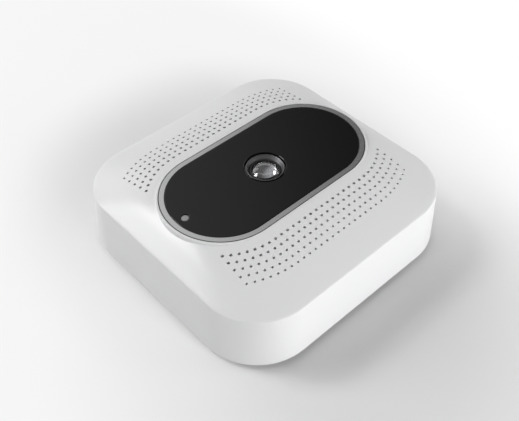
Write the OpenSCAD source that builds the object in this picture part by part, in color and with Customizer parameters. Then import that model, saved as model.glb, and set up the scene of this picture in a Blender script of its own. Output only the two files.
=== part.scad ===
// Smart home hub: a domed white housing with a black front panel, a camera lens,
// a status light and two perforated speaker grilles. Millimetres, +Z up.
// The origin is under the middle of the housing, on the surface that it stands on.
// X runs along the front panel. The power inlet and the reset button are on the +X wall.

/* [Body] */
// Width of the housing at its upper edge, along X
body_w = 116; // [113:0.5:150]
// Depth of the housing at its upper edge, along Y
body_d = 112; // [108:0.5:150]
// Corner radius of the housing at its upper edge
corner_r = 24.4; // [22:0.2:30]
// Height of the side wall
wall_h = 25; // [24:0.5:40]
// How much wider each wall stands at its foot
wall_flare = 1.5; // [0.6:0.1:2.4]
// Height that the dome would reach above the upper edge
dome_crest = 10.8; // [10.2:0.1:11.6]
// Softness of the edge between wall and dome
edge_r = 0.7; // [0.3:0.1:1]
// Thickness of the housing
shell_t = 2.2; // [1.8:0.1:2.4]

/* [Front panel] */
// Half of the panel's straight length
panel_run = 22.9; // [21:0.1:24]
// Radius of the panel's round ends
panel_r = 22.5; // [21:0.1:27]
// Thickness of the black panel
panel_t = 2; // [1.6:0.1:2.4]
// Depth of the panel's face under the dome's crest
panel_drop = 2.2; // [1.8:0.1:2.4]
// Visible width of the metal bezel
bezel_w = 2.5; // [1.8:0.1:2.8]
// Height of the metal bezel
bezel_h = 4.4; // [4:0.1:5]
// Fall of the bezel's face towards its outer edge
bezel_fall = 0.25; // [0:0.05:0.5]
// Wall of the raised collar round the bezel
collar_t = 0.9; // [0.7:0.1:1.2]

/* [Speaker grille] */
// Rows of holes in each grille
grille_rows = 5; // [3:1:5]
// Holes in each row
grille_columns = 30; // [10:2:30]
// Distance of the first row from the raised collar
grille_margin = 4.25; // [3.9:0.05:5]
// Distance between rows
grille_row_pitch = 3; // [2.4:0.1:3]
// Distance between holes along a row
grille_column_pitch = 3.07; // [2.4:0.01:3.1]
// Hole diameter in the row next to the panel
grille_first_d = 1.3; // [1.2:0.1:1.8]
// Hole diameter in the outermost row
grille_last_d = 1; // [0.8:0.1:1.4]

/* [Camera] */
// Diameter of the front lens
lens_d = 11.2; // [9:0.1:13.5]
// Depth of the front lens under the panel's face
lens_recess = 0.3; // [0.2:0.1:1.2]
// Wall of the lens barrel
barrel_wall = 0.7; // [0.6:0.1:1]
// Width of the dish between the lens barrel and the panel
dish_w = 2.4; // [2.2:0.1:3]
// Diameter of the aperture behind the front lens
aperture_d = 4.6; // [3:0.1:6]

/* [Status light] */
// Distance of the status light from the panel's middle
light_x = 41.4; // [38:0.1:42]
// Diameter of the status light
light_d = 3.2; // [2.4:0.1:3.6]

/* [Speakers] */
// Half of the straight length of a speaker
speaker_run = 10; // [8:0.5:14]
// Radius of a speaker's round ends
speaker_r = 11; // [10.6:0.1:11.4]
// Travel of the speaker cone to each side of rest
cone_travel = 0.8; // [0.3:0.1:1]

/* [Circuit boards] */
// Thickness of both circuit boards
board_t = 1.6; // [1:0.1:1.6]
// Room under the main board
board_lift = 4.8; // [4:0.1:5.8]
// Room between the heat spreader's fins and the screws over them
sensor_gap = 0.7; // [0.3:0.1:1.5]

/* [Inlet and button] */
// Place of the reset button along the +X wall
button_y = 14; // [11:0.5:20]
// Diameter of the reset button
button_d = 4; // [3:0.1:4.4]
// Travel of the reset button
button_travel = 0.5; // [0.3:0.1:0.6]

/* [Base] */
// Thickness of the base plate
base_t = 2.2; // [2:0.1:2.6]
// Height of the rubber feet under the base
foot_h = 2; // [1.4:0.1:3]
// Diameter of the rubber feet
foot_d = 11; // [8:0.5:14]
// Distance between the two keyholes for hanging
keyhole_spacing = 60; // [50:1:66]
// Diameter of a keyhole's round entry
keyhole_entry_d = 8; // [7:0.5:8.5]
// Width of a keyhole's slot
keyhole_slot_w = 4.2; // [3:0.1:4.4]

/* [Fits] */
// Clearance round fixed pieces that slip into each other
fit = 0.15; // [0.1:0.05:0.2]
// Gap round pieces that move, and between housing and base
gap = 0.3; // [0.3:0.05:0.4]

/* [Hidden] */
$fn = 64;
// Overlap that lets one cut run clear of a face
cut = 1;

// Heights of the housing
z_wall = foot_h;
z_rim = z_wall + wall_h;
z_panel = z_rim + dome_crest - panel_drop;
z_pocket = z_panel - bezel_h;
tub_t = 1.6;
z_tub = z_pocket - tub_t;
z_base = z_wall + base_t;
z_board = z_base + board_lift;
z_board_top = z_board + board_t;

// Radii round the front panel
bezel_r = panel_r + bezel_w;
pocket_r = bezel_r + fit;
collar_r = pocket_r + collar_t;
collar_soft = 0.3;
ledge_r = panel_r - 1.6;
ledge_t = 1.9;
gasket_t = bezel_h - ledge_t - panel_t;
peg_r = 1.2;
peg_angles = [45, 135, 225, 315];

// Form of the dome: contours at a share h of the crest are rounded rectangles.
// Its flat cap lies inside the panel's pocket, and the levels are even steps along Y.
dome_power_x = 5;
dome_power_y = 2.2;
outer_corner_steps = 16;
inner_corner_steps = 8;
cap_reach = (pocket_r - 2.2) / (body_d / 2);
rim_reach = 0.986;
outer_levels = [for (i = [0:15]) 1 - pow(rim_reach + (cap_reach - rim_reach) * i / 15, dome_power_y)];
inner_levels = [for (i = [0:8]) 1 - pow(1 + (cap_reach - 1) * i / 8, dome_power_y)];
ceiling_drop = 1.4;
ceiling_crest = dome_crest - shell_t + ceiling_drop;
foot_soft = 0.4;

// Processor stack in the middle of the main board
chip_w = 14;
chip_h = 1.2;
shield_w = 28;
shield_h = 2.6;
shield_t = 0.3;
spreader_w = 40;
spreader_d = 30;
spreader_t = 0.8;
spreader_fin_h = 0.9;
spreader_fins = 6;
stack_x = -3;
z_spreader_top = z_board_top + shield_h + spreader_t + spreader_fin_h;

// Camera, from the sensor board up to the panel
sensor_screw_head_h = 1.3;
z_sensor_board = z_spreader_top + sensor_gap + sensor_screw_head_h;
z_sensor_top = z_sensor_board + board_t;
sensor_post_h = z_tub - z_sensor_top;
lens_r = lens_d / 2;
barrel_r = lens_r + barrel_wall;
z_lens = z_panel - lens_recess;
lens_rise = 1.8;
lens_edge_t = 0.6;
z_front_lens = z_lens - lens_rise - lens_edge_t;
lens_wall = 0.6;
barrel_lip = 0.4;
holder_base_h = 3;
holder_neck_r = barrel_r + 1.8;
holder_w = 2 * holder_neck_r + 1.8;
holder_wall = 1.6;
sensor_w = 9;
sensor_t = 1;
filter_w = 8;
filter_t = 0.3;
z_filter = z_sensor_top + holder_base_h - 0.8;
z_barrel = z_sensor_top + holder_base_h + 0.6;
lens_opening_r = barrel_r + dish_w;
trim_r = lens_opening_r - 0.3;
trim_bore_r = barrel_r + 0.2;
trim_foot_r = barrel_r + 0.9;
lens_passage_r = barrel_r + 0.5;
sensor_board_half = 13;
sensor_board_left = light_x + 4.6;
sensor_board_right = 26;
sensor_posts = [[-30, 9.5], [-30, -9.5], [16, 9.5], [16, -9.5]];
sensor_post_r = 2.6;
sensor_screw_l = 7;

// Lenses behind the front one, on steps of the barrel
lens_slip = 0.05;
barrel_bore_r = lens_r - 2.6;
rear_lens_r = lens_r - 1.8;
middle_lens_r = lens_r - 1.2;
inner_lens_edge_t = 0.8;
z_rear_lens = z_barrel + 0.8;
z_middle_lens = z_barrel + 3.4;
z_spacer = z_barrel + 4.2;
spacer_r = lens_r - 0.1;
spacer_bore_r = lens_r - 1.1;

// Small screws of the sensor board and the speakers
small_screw_r = 0.9;
small_pilot_r = 0.95;
small_clear_r = 1.1;
small_head_r = 2;

// Case screws, in the four corners
corner_reach = corner_r - shell_t - 4.5;
boss_r = 3.4;
boss_x = body_w / 2 - corner_r + corner_reach * cos(45);
boss_y = body_d / 2 - corner_r + corner_reach * sin(45);
boss_points = [for (x = [-1, 1]) for (y = [-1, 1]) [x * boss_x, y * boss_y]];
screw_r = 1.2;
screw_pilot_r = screw_r + 0.05;
screw_clear_r = screw_r + 0.3;
screw_l = 8;
screw_head_r = 2.5;
screw_head_h = 1.1;
screw_recess_r = 2.9;
screw_recess_h = 1.2;

// Grilles and speakers, one under the middle of each grille
grille_first_r = collar_r + grille_margin;
speaker_y = collar_r + speaker_r + gap;
z_speaker = z_rim - 3;
flange_t = 1.5;
basket_h = 5.5;
basket_vent_r = 2.6;
z_flange = z_speaker - flange_t;
z_basket = z_speaker - basket_h - 1;
magnet_h = 4.5;
magnet_r = 8;
pole_r = 5;
coil_gap = 0.9;
coil_wall = 0.3;
cone_r = speaker_r - 4;
opening_r = speaker_r - 2.1;
rebate_r = speaker_r - 1.4;
z_cone = z_flange - 0.3;
z_coil = z_basket - 2;
cone_t = 0.5;
z_surround = z_cone + cone_t + 0.2;
ear_r = 3;
ear_reach = speaker_r + ear_r + gap;
ear_margin = 1.9;
ear_head_h = 1.2;
ear_grip = 2.8;
ear_least_side = 8.4;
ear_y = body_d / 2 - shell_t - ear_margin - ear_r - speaker_y;
ear_side = sqrt(max(pow(ear_reach, 2) - pow(ear_y, 2), pow(ear_least_side, 2)));
ear_x = speaker_run + ear_side;
ear_angle = atan2(ear_y, ear_side);
ear_arm = norm([ear_side, ear_y]);
cloth_t = 0.4;
cloth_inner_r = grille_first_r - 2.3;
cloth_outer_r = grille_first_r + grille_row_pitch * (grille_rows - 1) + 1.8;
cloth_half = abs(grille_point(grille_rows - 1, 0).x) + 1.8;
lead_w = 2;
lead_t = 1;
lead_bend_r = 2;
lead_x = 6;
lead_socket_w = 5;
lead_socket_h = 3;
basket_side = speaker_y - opening_r - 0.7;
lead_y = basket_side - lead_bend_r - 1;

// Half width of the housing at a height, on the drafted wall
function flare_at(z) = wall_flare * (z_rim - z) / wall_h;
function wall_x(z) = body_w / 2 + flare_at(z);

// Inlet and button on the +X wall
socket_w = 8.94;
socket_h = 3.26;
socket_l = 7.4;
socket_wall = 0.3;
socket_recess = 0.5;
z_socket = z_board_top + socket_h / 2;
x_socket = wall_x(z_socket) - socket_recess;
inlet_margin = 0.5;
z_button = z_board_top + 2;
x_wall = wall_x(z_button);
button_proud = 0.4;
button_flange_r = button_d / 2 + 1;
button_flange_t = 1.2;
x_button_flange = x_wall - shell_t - gap - 2 * wall_flare * button_flange_r / wall_h;
switch_gap = button_travel + gap;
x_switch = x_button_flange - button_flange_t - 1.2 - switch_gap;

// Main board, on posts of the base
board_left = body_w / 2 - 10;
board_right = x_button_flange - button_flange_t - switch_gap;
board_half = body_d / 2 - 20;
board_corner = 4;
board_posts = [for (x = [-board_left + 5, board_right - 10]) for (y = [-1, 1]) [x, y * (board_half - 5)]];
board_post_r = 3;
board_screw_r = 1.1;
board_screw_l = 3.4;
board_pilot_r = 1.15;
board_pilot_h = 4.2;
board_clear_r = 1.4;
board_head_r = 2.4;
board_head_h = 1.4;

// Base plate
base_half_w = body_w / 2 + flare_at(z_base) - shell_t - gap;
base_half_d = body_d / 2 + flare_at(z_base) - shell_t - gap;
base_corner = corner_r + flare_at(z_base) - shell_t - gap;
lip_inset = 1;
lip_t = 1.4;
lip_h = 3;
foot_recess = 0.6;
foot_x = body_w / 2 - 20;
foot_y = body_d / 2 - 20;
keyhole_drop = 4;
vent_y = 16;

// Plane outlines
module stadium(run, r) {
  square([2 * run, 2 * r], center = true);
  for (s = [-1, 1]) translate([s * run, 0]) circle(r);
}

module rounded_rectangle(half_w, half_d, r) {
  square([2 * half_w, 2 * (half_d - r)], center = true);
  square([2 * (half_w - r), 2 * half_d], center = true);
  for (x = [-1, 1]) for (y = [-1, 1]) translate([x * (half_w - r), y * (half_d - r)]) circle(r);
}

// A slab of the stadium outline from one height to another
module stadium_slab(run, r, z_low, z_high) {
  translate([0, 0, z_low]) linear_extrude(z_high - z_low) stadium(run, r);
}

// A profile swept round a stadium: its x counts outwards from the radius, its y is height
module stadium_sweep(run, r) {
  for (turn = [0, 180]) rotate(turn) {
    translate([run, 0, 0]) rotate(-90) rotate_extrude(angle = 180) translate([r, 0]) children();
    translate([-run, 0, 0]) rotate([90, 0, 90]) linear_extrude(2 * run) translate([r, 0]) children();
  }
}

// A countersunk or pan-headed screw, head down, with a cross recess
module screw(z_head, head_r, head_h, shank_r, shank_l) {
  slot_w = head_r * 0.35;
  difference() {
    union() {
      translate([0, 0, z_head]) cylinder(r = head_r, h = head_h);
      translate([0, 0, z_head]) cylinder(r = shank_r, h = head_h + shank_l);
    }
    for (turn = [0, 90]) rotate(turn) translate([-head_r * 0.6, -slot_w / 2, z_head - cut])
      cube([head_r * 1.2, slot_w, cut + head_h * 0.5]);
  }
}

// Points of one contour, counter-clockwise, with the same number of steps in each corner
function contour(half_w, half_d, r, z, steps) = [
  for (k = [0:3]) for (i = [0:steps])
    let (
      x_side = (k == 0 || k == 3) ? 1 : -1,
      y_side = k < 2 ? 1 : -1,
      angle = 90 * (k + i / steps)
    )
    [x_side * (half_w - r) + r * cos(angle), y_side * (half_d - r) + r * sin(angle), z]
];

// Contour of the wall, grown outwards from the housing's upper edge
function wall_contour(grow, z, steps) =
  contour(body_w / 2 + grow, body_d / 2 + grow, corner_r + grow, z, steps);

// Contour of the dome at the share h of its crest
function dome_contour(half_w, half_d, r, z, crest, h, steps) =
  let (
    w = half_w * pow(1 - h, 1 / dome_power_x),
    d = half_d * pow(1 - h, 1 / dome_power_y),
    corner = d * (r / half_d + (1 - r / half_d) * pow(h, 2.3))
  )
  contour(w, d, corner, z + crest * h, steps);

// A closed solid through contours that are listed from the lowest up
module lofted(contours) {
  n = len(contours[0]);
  points = [for (ring = contours) each ring];
  sides = [
    for (i = [0:len(contours) - 2]) for (j = [0:n - 1])
      let (a = i * n + j, b = i * n + (j + 1) % n)
      each [[a, a + n, b + n], [a, b + n, b]]
  ];
  bottom = [for (j = [0:n - 1]) j];
  top = [for (j = [n - 1:-1:0]) (len(contours) - 1) * n + j];
  polyhedron(points, concat([bottom], sides, [top]));
}

// Outside of the housing: drafted wall, soft edge and dome
module housing_outside() {
  edge_in = edge_r * 0.2;
  edge_down = edge_r * 0.25;
  lofted(concat(
    [
      wall_contour(wall_flare - foot_soft, z_wall, outer_corner_steps),
      wall_contour(wall_flare, z_wall + foot_soft, outer_corner_steps),
      wall_contour(flare_at(z_rim - edge_r), z_rim - edge_r, outer_corner_steps),
      wall_contour(-edge_in, z_rim - edge_down, outer_corner_steps)
    ],
    [
      for (h = outer_levels)
        dome_contour(body_w / 2, body_d / 2, corner_r, z_rim, dome_crest, h, outer_corner_steps)
    ]
  ));
}

// Inside of the housing, lowered where a lining lies on its ceiling
module housing_inside(lining = 0) {
  half_w = body_w / 2 - shell_t;
  half_d = body_d / 2 - shell_t;
  r = corner_r - shell_t;
  z = z_rim - ceiling_drop - lining;
  low = z_wall - cut;
  lofted(concat(
    [wall_contour(flare_at(low) - shell_t, low, inner_corner_steps)],
    [for (h = inner_levels) dome_contour(half_w, half_d, r, z, ceiling_crest, h, inner_corner_steps)]
  ));
}

// Places of the holes in the front grille, which follow the panel's outline
function grille_point(row, column) =
  let (
    r = grille_first_r + row * grille_row_pitch,
    along = (column - (grille_columns - 1) / 2) * grille_column_pitch,
    bend = max(abs(along) - panel_run, 0) / r * 180 / PI
  )
  [sign(along) * (min(abs(along), panel_run) + r * sin(bend)), -r * cos(bend)];

module grille_holes() {
  z_low = z_rim + 2;
  for (row = [0:grille_rows - 1]) {
    d = grille_first_d + (grille_last_d - grille_first_d) * row / (grille_rows - 1);
    for (column = [0:grille_columns - 1]) for (side = [-1, 1]) {
      at = grille_point(row, column);
      translate([at.x, -side * at.y, z_low]) cylinder(d = d, h = z_panel + 2 * cut - z_low, $fn = 16);
    }
  }
}

// What stands inside the cover: the tub under the panel, bosses and posts
module cover_ribs() {
  stadium_slab(panel_run, collar_r, z_tub, z_panel + cut);
  for (at = boss_points) translate([at.x, at.y, z_base]) cylinder(r = boss_r, h = wall_h);
  for (at = sensor_posts) translate([at.x, at.y, z_sensor_top])
    cylinder(r = sensor_post_r, h = sensor_post_h + tub_t);
  for (side = [-1, 1]) for (x = [-1, 1])
    translate([x * ear_x, side * (speaker_y + ear_y), z_speaker]) cylinder(r = ear_r, h = wall_h);
}

module cover_bores() {
  translate([0, 0, z_tub - cut]) cylinder(r = lens_passage_r, h = bezel_h);
  translate([-light_x, 0, z_tub - cut]) cylinder(d = light_d + 2 * fit, h = bezel_h);
  for (at = boss_points) translate([at.x, at.y, z_base - cut])
    cylinder(r = screw_pilot_r, h = screw_l + 3 * cut);
  for (at = sensor_posts) translate([at.x, at.y, z_sensor_top - cut])
    cylinder(r = small_pilot_r, h = sensor_screw_l + cut);
  for (side = [-1, 1]) for (x = [-1, 1])
    translate([x * ear_x, side * (speaker_y + ear_y), z_speaker - cut])
      cylinder(r = small_pilot_r, h = ear_grip + 0.4 + cut);
  for (at = peg_points()) translate([at.x, at.y, z_tub - cut]) cylinder(r = peg_r + fit, h = bezel_h);
}

// Openings of the inlet and the reset button in the +X wall
module wall_openings() {
  translate([wall_x(z_socket) - 2 * shell_t, 0, z_socket]) rotate([90, 0, 90])
    linear_extrude(4 * shell_t) stadium((socket_w - socket_h) / 2, socket_h / 2 + inlet_margin);
  translate([x_wall - 2 * shell_t, button_y, z_button]) rotate([0, 90, 0])
    cylinder(d = button_d + 2 * gap, h = 4 * shell_t);
}

module top_cover() {
  color("whitesmoke")
  difference() {
    union() {
      housing_outside();
      stadium_slab(panel_run, collar_r - 2 * collar_soft, z_tub, z_panel);
      stadium_sweep(panel_run, collar_r)
        polygon([
          [-3 * collar_soft, z_tub], [0, z_tub], [0, z_panel - collar_soft],
          [-collar_soft, z_panel], [-3 * collar_soft, z_panel]
        ]);
    }
    difference() {
      housing_inside();
      cover_ribs();
    }
    stadium_slab(panel_run, pocket_r, z_pocket, z_panel + 4 * cut);
    cover_bores();
    wall_openings();
    grille_holes();
  }
}

// Pegs that fix the bezel in the tub's floor
function peg_points() = [
  for (angle = peg_angles)
    [sign(cos(angle)) * panel_run + (bezel_r - 1.8) * cos(angle), (bezel_r - 1.8) * sin(angle)]
];

module bezel_ring() {
  soft = 0.35;
  color("silver") {
    stadium_sweep(panel_run, panel_r)
      polygon([
        [fit, z_pocket], [bezel_w, z_pocket], [bezel_w, z_panel - bezel_fall - soft],
        [bezel_w - soft, z_panel - bezel_fall], [fit + soft, z_panel], [fit, z_panel - soft]
      ]);
    difference() {
      stadium_slab(panel_run, panel_r + fit + 0.2, z_pocket, z_pocket + ledge_t);
      stadium_slab(panel_run, ledge_r, z_pocket - cut, z_pocket + ledge_t + cut);
    }
    for (at = peg_points()) translate([at.x, at.y, z_tub - 0.4]) cylinder(r = peg_r, h = tub_t + 0.4);
  }
}

module panel_gasket() {
  color("dimgray")
  difference() {
    stadium_slab(panel_run, panel_r - fit, z_pocket + ledge_t, z_pocket + ledge_t + gasket_t);
    stadium_slab(panel_run, ledge_r, z_pocket, z_panel);
  }
}

module front_panel() {
  soft = 0.25;
  color("black")
  difference() {
    union() {
      stadium_slab(panel_run, panel_r - 2 * cut, z_panel - panel_t, z_panel);
      stadium_sweep(panel_run, panel_r)
        polygon([
          [-3 * cut, z_panel - panel_t], [0, z_panel - panel_t], [0, z_panel - soft],
          [-soft, z_panel], [-3 * cut, z_panel]
        ]);
    }
    translate([0, 0, z_panel - panel_t - cut]) cylinder(r = lens_opening_r, h = panel_t + 2 * cut);
    translate([-light_x, 0, z_panel - panel_t - cut]) cylinder(d = light_d + 2 * fit, h = panel_t + 2 * cut);
  }
}

// Conical dish between the panel and the lens, standing on the tub's floor
module lens_trim() {
  top = z_panel - 0.2;
  lip = 0.5;
  wall = 0.6;
  dish_low = z_panel - 2.1;
  color("dimgray")
  rotate_extrude()
    polygon([
      [trim_foot_r, z_pocket], [trim_r, z_pocket], [trim_r, top], [trim_r - lip, top],
      [trim_bore_r, dish_low], [trim_bore_r, dish_low - wall], [trim_foot_r, dish_low - wall]
    ]);
}

// Half section of a lens: a spherical cap on a round edge, with a narrow flat between them
module lens_section(r, edge_t, rise) {
  sphere_r = (r * r + rise * rise) / (2 * rise);
  flat = 0.05;
  square([r, edge_t]);
  intersection() {
    translate([0, edge_t + rise - sphere_r]) circle(sphere_r, $fn = 256);
    square([r - flat, edge_t + rise + cut]);
  }
}

module lens_element(r, z_edge, edge_t, rise) {
  translate([0, 0, z_edge]) rotate_extrude() lens_section(r, edge_t, rise);
}

// The front lens is hollow underneath
module front_lens() {
  color("lightsteelblue")
  translate([0, 0, z_front_lens]) rotate_extrude() difference() {
    lens_section(lens_r, lens_edge_t, lens_rise);
    translate([0, -cut]) lens_section(lens_r - lens_wall, cut, lens_rise - 0.1);
  }
}

module middle_lens() {
  color("lightsteelblue") lens_element(middle_lens_r, z_middle_lens, inner_lens_edge_t, 0.8);
}

module rear_lens() {
  color("lightsteelblue") lens_element(rear_lens_r, z_rear_lens, inner_lens_edge_t, 0.6);
}

// Bright bowl between the lenses, which narrows to the aperture
module lens_spacer() {
  bowl_r = lens_r - lens_wall;
  bowl_depth = 2.6;
  aperture_r = aperture_d / 2;
  lip_low = z_front_lens - bowl_depth - 0.4;
  bowl = [
    for (turn = [0:7.5:90])
      [aperture_r + (bowl_r - aperture_r) * cos(turn), z_front_lens - bowl_depth * sin(turn)]
  ];
  color("silver")
  rotate_extrude()
    polygon(concat(
      [[spacer_bore_r, z_spacer], [spacer_r, z_spacer], [spacer_r, z_front_lens]], bowl,
      [[aperture_r, lip_low], [spacer_bore_r, lip_low]]
    ));
}

// Threaded tube that holds the lenses on three steps
module lens_barrel() {
  barrel_top = z_front_lens + lens_edge_t + barrel_lip;
  color("black")
  difference() {
    translate([0, 0, z_barrel]) cylinder(r = barrel_r, h = barrel_top - z_barrel);
    translate([0, 0, z_barrel - cut]) cylinder(r = barrel_bore_r, h = wall_h);
    translate([0, 0, z_rear_lens]) cylinder(r = rear_lens_r + lens_slip, h = wall_h);
    translate([0, 0, z_middle_lens]) cylinder(r = middle_lens_r + lens_slip, h = wall_h);
    translate([0, 0, z_spacer]) cylinder(r = lens_r + lens_slip, h = wall_h);
  }
}

// A square block round an upright axis
module square_block(w, z, h) {
  translate([-w / 2, -w / 2, z]) cube([w, w, h]);
}

module lens_holder() {
  color("black")
  difference() {
    union() {
      square_block(holder_w, z_sensor_top, holder_base_h);
      translate([0, 0, z_sensor_top]) cylinder(r = holder_neck_r, h = z_tub - 1 - z_sensor_top);
    }
    translate([0, 0, z_filter + filter_t]) cylinder(r = barrel_r + fit, h = wall_h);
    square_block(filter_w + 2 * fit, z_filter, filter_t + cut);
    square_block(sensor_w - 1.6, z_sensor_top, holder_base_h);
    square_block(holder_w - 2 * holder_wall, z_sensor_top - cut, cut + 1.4);
  }
}

module infrared_filter() {
  color("lightpink") square_block(filter_w, z_filter, filter_t);
}

module image_sensor() {
  window_w = 6;
  window_d = 4.8;
  window_depth = 0.2;
  color("darkslategray")
  difference() {
    square_block(sensor_w, z_sensor_top, sensor_t);
    translate([-window_w / 2, -window_d / 2, z_sensor_top + sensor_t - window_depth])
      cube([window_w, window_d, cut]);
  }
}

module sensor_board() {
  color("darkgreen")
  difference() {
    translate([-sensor_board_left, -sensor_board_half, z_sensor_board])
      cube([sensor_board_left + sensor_board_right, 2 * sensor_board_half, board_t]);
    for (at = sensor_posts) translate([at.x, at.y, z_sensor_board - cut])
      cylinder(r = small_clear_r, h = board_t + 2 * cut);
  }
}

module sensor_board_screws() {
  color("gainsboro")
  for (at = sensor_posts) translate([at.x, at.y, z_sensor_board - sensor_screw_head_h])
    screw(0, small_head_r, sensor_screw_head_h, small_screw_r, sensor_screw_l);
}

module status_light_pipe() {
  soft = 0.3;
  flange = 0.6;
  foot = z_sensor_top + 1.2;
  top = z_panel - 0.1;
  r = light_d / 2;
  flange_top = z_panel - panel_t - 0.2;
  color("lightgray")
  translate([-light_x, 0, 0]) rotate_extrude()
    polygon([
      [0, foot], [r, foot], [r, z_pocket], [r + flange, z_pocket], [r + flange, flange_top],
      [r, flange_top], [r, top - soft], [r - soft, top], [0, top]
    ]);
}

module status_led() {
  led_w = 2.8;
  led_h = 0.9;
  color("white") translate([-light_x, 0, 0]) square_block(led_w, z_sensor_top, led_h);
}

// Flat ribbon between the two boards, looped out towards +X
ribbon_w = 10;
ribbon_t = 0.3;
ribbon_socket_l = 6;
ribbon_socket_h = 1.2;
ribbon_x = sensor_board_right;
ribbon_straight = 2;
ribbon_low = z_board_top + ribbon_socket_h / 2;
ribbon_high = z_sensor_board - ribbon_socket_h / 2;
ribbon_r = (ribbon_high - ribbon_low) / 2;

module ribbon_cable() {
  color("ivory")
  translate([ribbon_x, ribbon_w / 2, 0]) rotate([90, 0, 0]) linear_extrude(ribbon_w) {
    for (z = [ribbon_low, ribbon_high]) translate([0, z - ribbon_t / 2]) square([ribbon_straight, ribbon_t]);
    translate([ribbon_straight, (ribbon_low + ribbon_high) / 2]) difference() {
      circle(ribbon_r + ribbon_t / 2);
      circle(ribbon_r - ribbon_t / 2);
      translate([-ribbon_r * 2, -ribbon_r * 2]) square([ribbon_r * 2, ribbon_r * 4]);
    }
  }
}

module ribbon_sockets() {
  color("tan")
  for (z = [z_board_top, z_sensor_board - ribbon_socket_h])
    translate([ribbon_x - ribbon_socket_l, -ribbon_w / 2 - 1, z])
      cube([ribbon_socket_l, ribbon_w + 2, ribbon_socket_h]);
}

// Outline of the cloth behind one grille
module cloth_outline() {
  intersection() {
    difference() {
      stadium(panel_run, cloth_outer_r);
      stadium(panel_run, cloth_inner_r);
    }
    translate([-cloth_half, 0]) square([2 * cloth_half, cloth_outer_r + cut]);
  }
}

module grille_cloth() {
  color("gray")
  difference() {
    intersection() {
      housing_inside();
      translate([0, 0, z_rim]) linear_extrude(dome_crest) cloth_outline();
    }
    housing_inside(lining = cloth_t);
    for (x = [-1, 1]) translate([x * ear_x, speaker_y + ear_y, z_rim])
      cylinder(r = ear_r + fit, h = dome_crest);
    for (at = boss_points) translate([at.x, at.y, z_rim]) cylinder(r = boss_r + fit, h = dome_crest);
  }
}

module grille_cloth_front() { mirror([0, 1, 0]) grille_cloth(); }
module grille_cloth_rear() { grille_cloth(); }

// Foam duct between a speaker's flange and the cloth
module speaker_gasket() {
  color("slategray")
  intersection() {
    translate([0, speaker_y, z_speaker]) linear_extrude(dome_crest + cut) difference() {
      stadium(speaker_run, speaker_r);
      stadium(speaker_run, rebate_r + 0.2);
    }
    housing_inside(lining = cloth_t);
  }
}

module speaker_gasket_front() { mirror([0, 1, 0]) speaker_gasket(); }
module speaker_gasket_rear() { speaker_gasket(); }

module speaker_frame() {
  color("dimgray")
  translate([0, speaker_y, 0]) difference() {
    union() {
      stadium_slab(speaker_run, speaker_r, z_flange, z_speaker);
      stadium_slab(speaker_run - 0.5, opening_r + 0.7, z_basket, z_flange + 0.2);
      for (x = [-1, 1]) {
        translate([x * ear_x, ear_y, z_flange]) cylinder(r = ear_r, h = flange_t);
        translate([x * speaker_run, 0, z_flange]) rotate(90 - x * (90 - ear_angle))
          translate([opening_r + 0.5, -ear_r, 0]) cube([ear_arm - opening_r - 0.5, 2 * ear_r, flange_t]);
      }
    }
    stadium_slab(speaker_run - 0.5, opening_r, z_basket + 1.2, z_speaker + cut);
    stadium_slab(speaker_run, rebate_r, z_surround, z_speaker + cut);
    translate([0, 0, z_basket - cut]) cylinder(r = magnet_r - 1.2, h = 4 * cut);
    for (x = [-1, 1]) translate([x * ear_x, ear_y, z_flange - cut])
      cylinder(r = small_clear_r, h = flange_t + 2 * cut);
    for (x = [-1, 1]) translate([x * (speaker_run - 1), 0, z_basket - cut])
      cylinder(r = basket_vent_r, h = 4 * cut);
  }
}

module speaker_frame_front() { mirror([0, 1, 0]) speaker_frame(); }
module speaker_frame_rear() { speaker_frame(); }

// Cup, magnet and pole of a speaker, with the ring gap for its coil
module speaker_magnet() {
  z_low = z_basket - magnet_h;
  gap_floor = z_coil - cone_travel - gap;
  pole_top = z_basket + 1;
  color("lightslategray")
  translate([0, speaker_y, 0]) rotate_extrude()
    polygon([
      [0, z_low], [magnet_r, z_low], [magnet_r, z_basket], [pole_r + coil_gap, z_basket],
      [pole_r + coil_gap, gap_floor], [pole_r, gap_floor], [pole_r, pole_top], [0, pole_top]
    ]);
}

module speaker_magnet_front() { mirror([0, 1, 0]) speaker_magnet(); }
module speaker_magnet_rear() { speaker_magnet(); }

// Rubber half roll round a speaker's cone
module speaker_surround() {
  roll_r = (opening_r - cone_r - gap) / 2;
  roll_t = 0.35;
  color("black")
  translate([0, speaker_y, 0]) {
    stadium_sweep(speaker_run, cone_r + gap + roll_r) intersection() {
      translate([0, z_surround]) difference() {
        circle(roll_r);
        circle(roll_r - roll_t);
      }
      translate([-roll_r - cut, z_surround]) square([2 * roll_r + 2 * cut, roll_r + cut]);
    }
    stadium_sweep(speaker_run, opening_r) translate([-roll_t, z_surround])
      square([rebate_r - opening_r + roll_t - fit, roll_t]);
  }
}

module speaker_surround_front() { mirror([0, 1, 0]) speaker_surround(); }
module speaker_surround_rear() { speaker_surround(); }

// Flat cone with a dust cap and its coil former
module speaker_cone() {
  coil_r = pole_r + coil_gap / 2;
  cap_rise = 1;
  color("dimgray")
  translate([0, speaker_y, 0]) {
    stadium_slab(speaker_run, cone_r, z_cone, z_cone + cone_t);
    lens_element(pole_r + 0.6, z_cone, cone_t, cap_rise);
    difference() {
      translate([0, 0, z_coil]) cylinder(r = coil_r + coil_wall / 2, h = z_cone + 0.1 - z_coil);
      translate([0, 0, z_coil - cut]) cylinder(r = coil_r - coil_wall / 2, h = z_cone - z_coil + cut);
    }
  }
}

module speaker_cone_front() { mirror([0, 1, 0]) speaker_cone(); }
module speaker_cone_rear() { speaker_cone(); }

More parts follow.
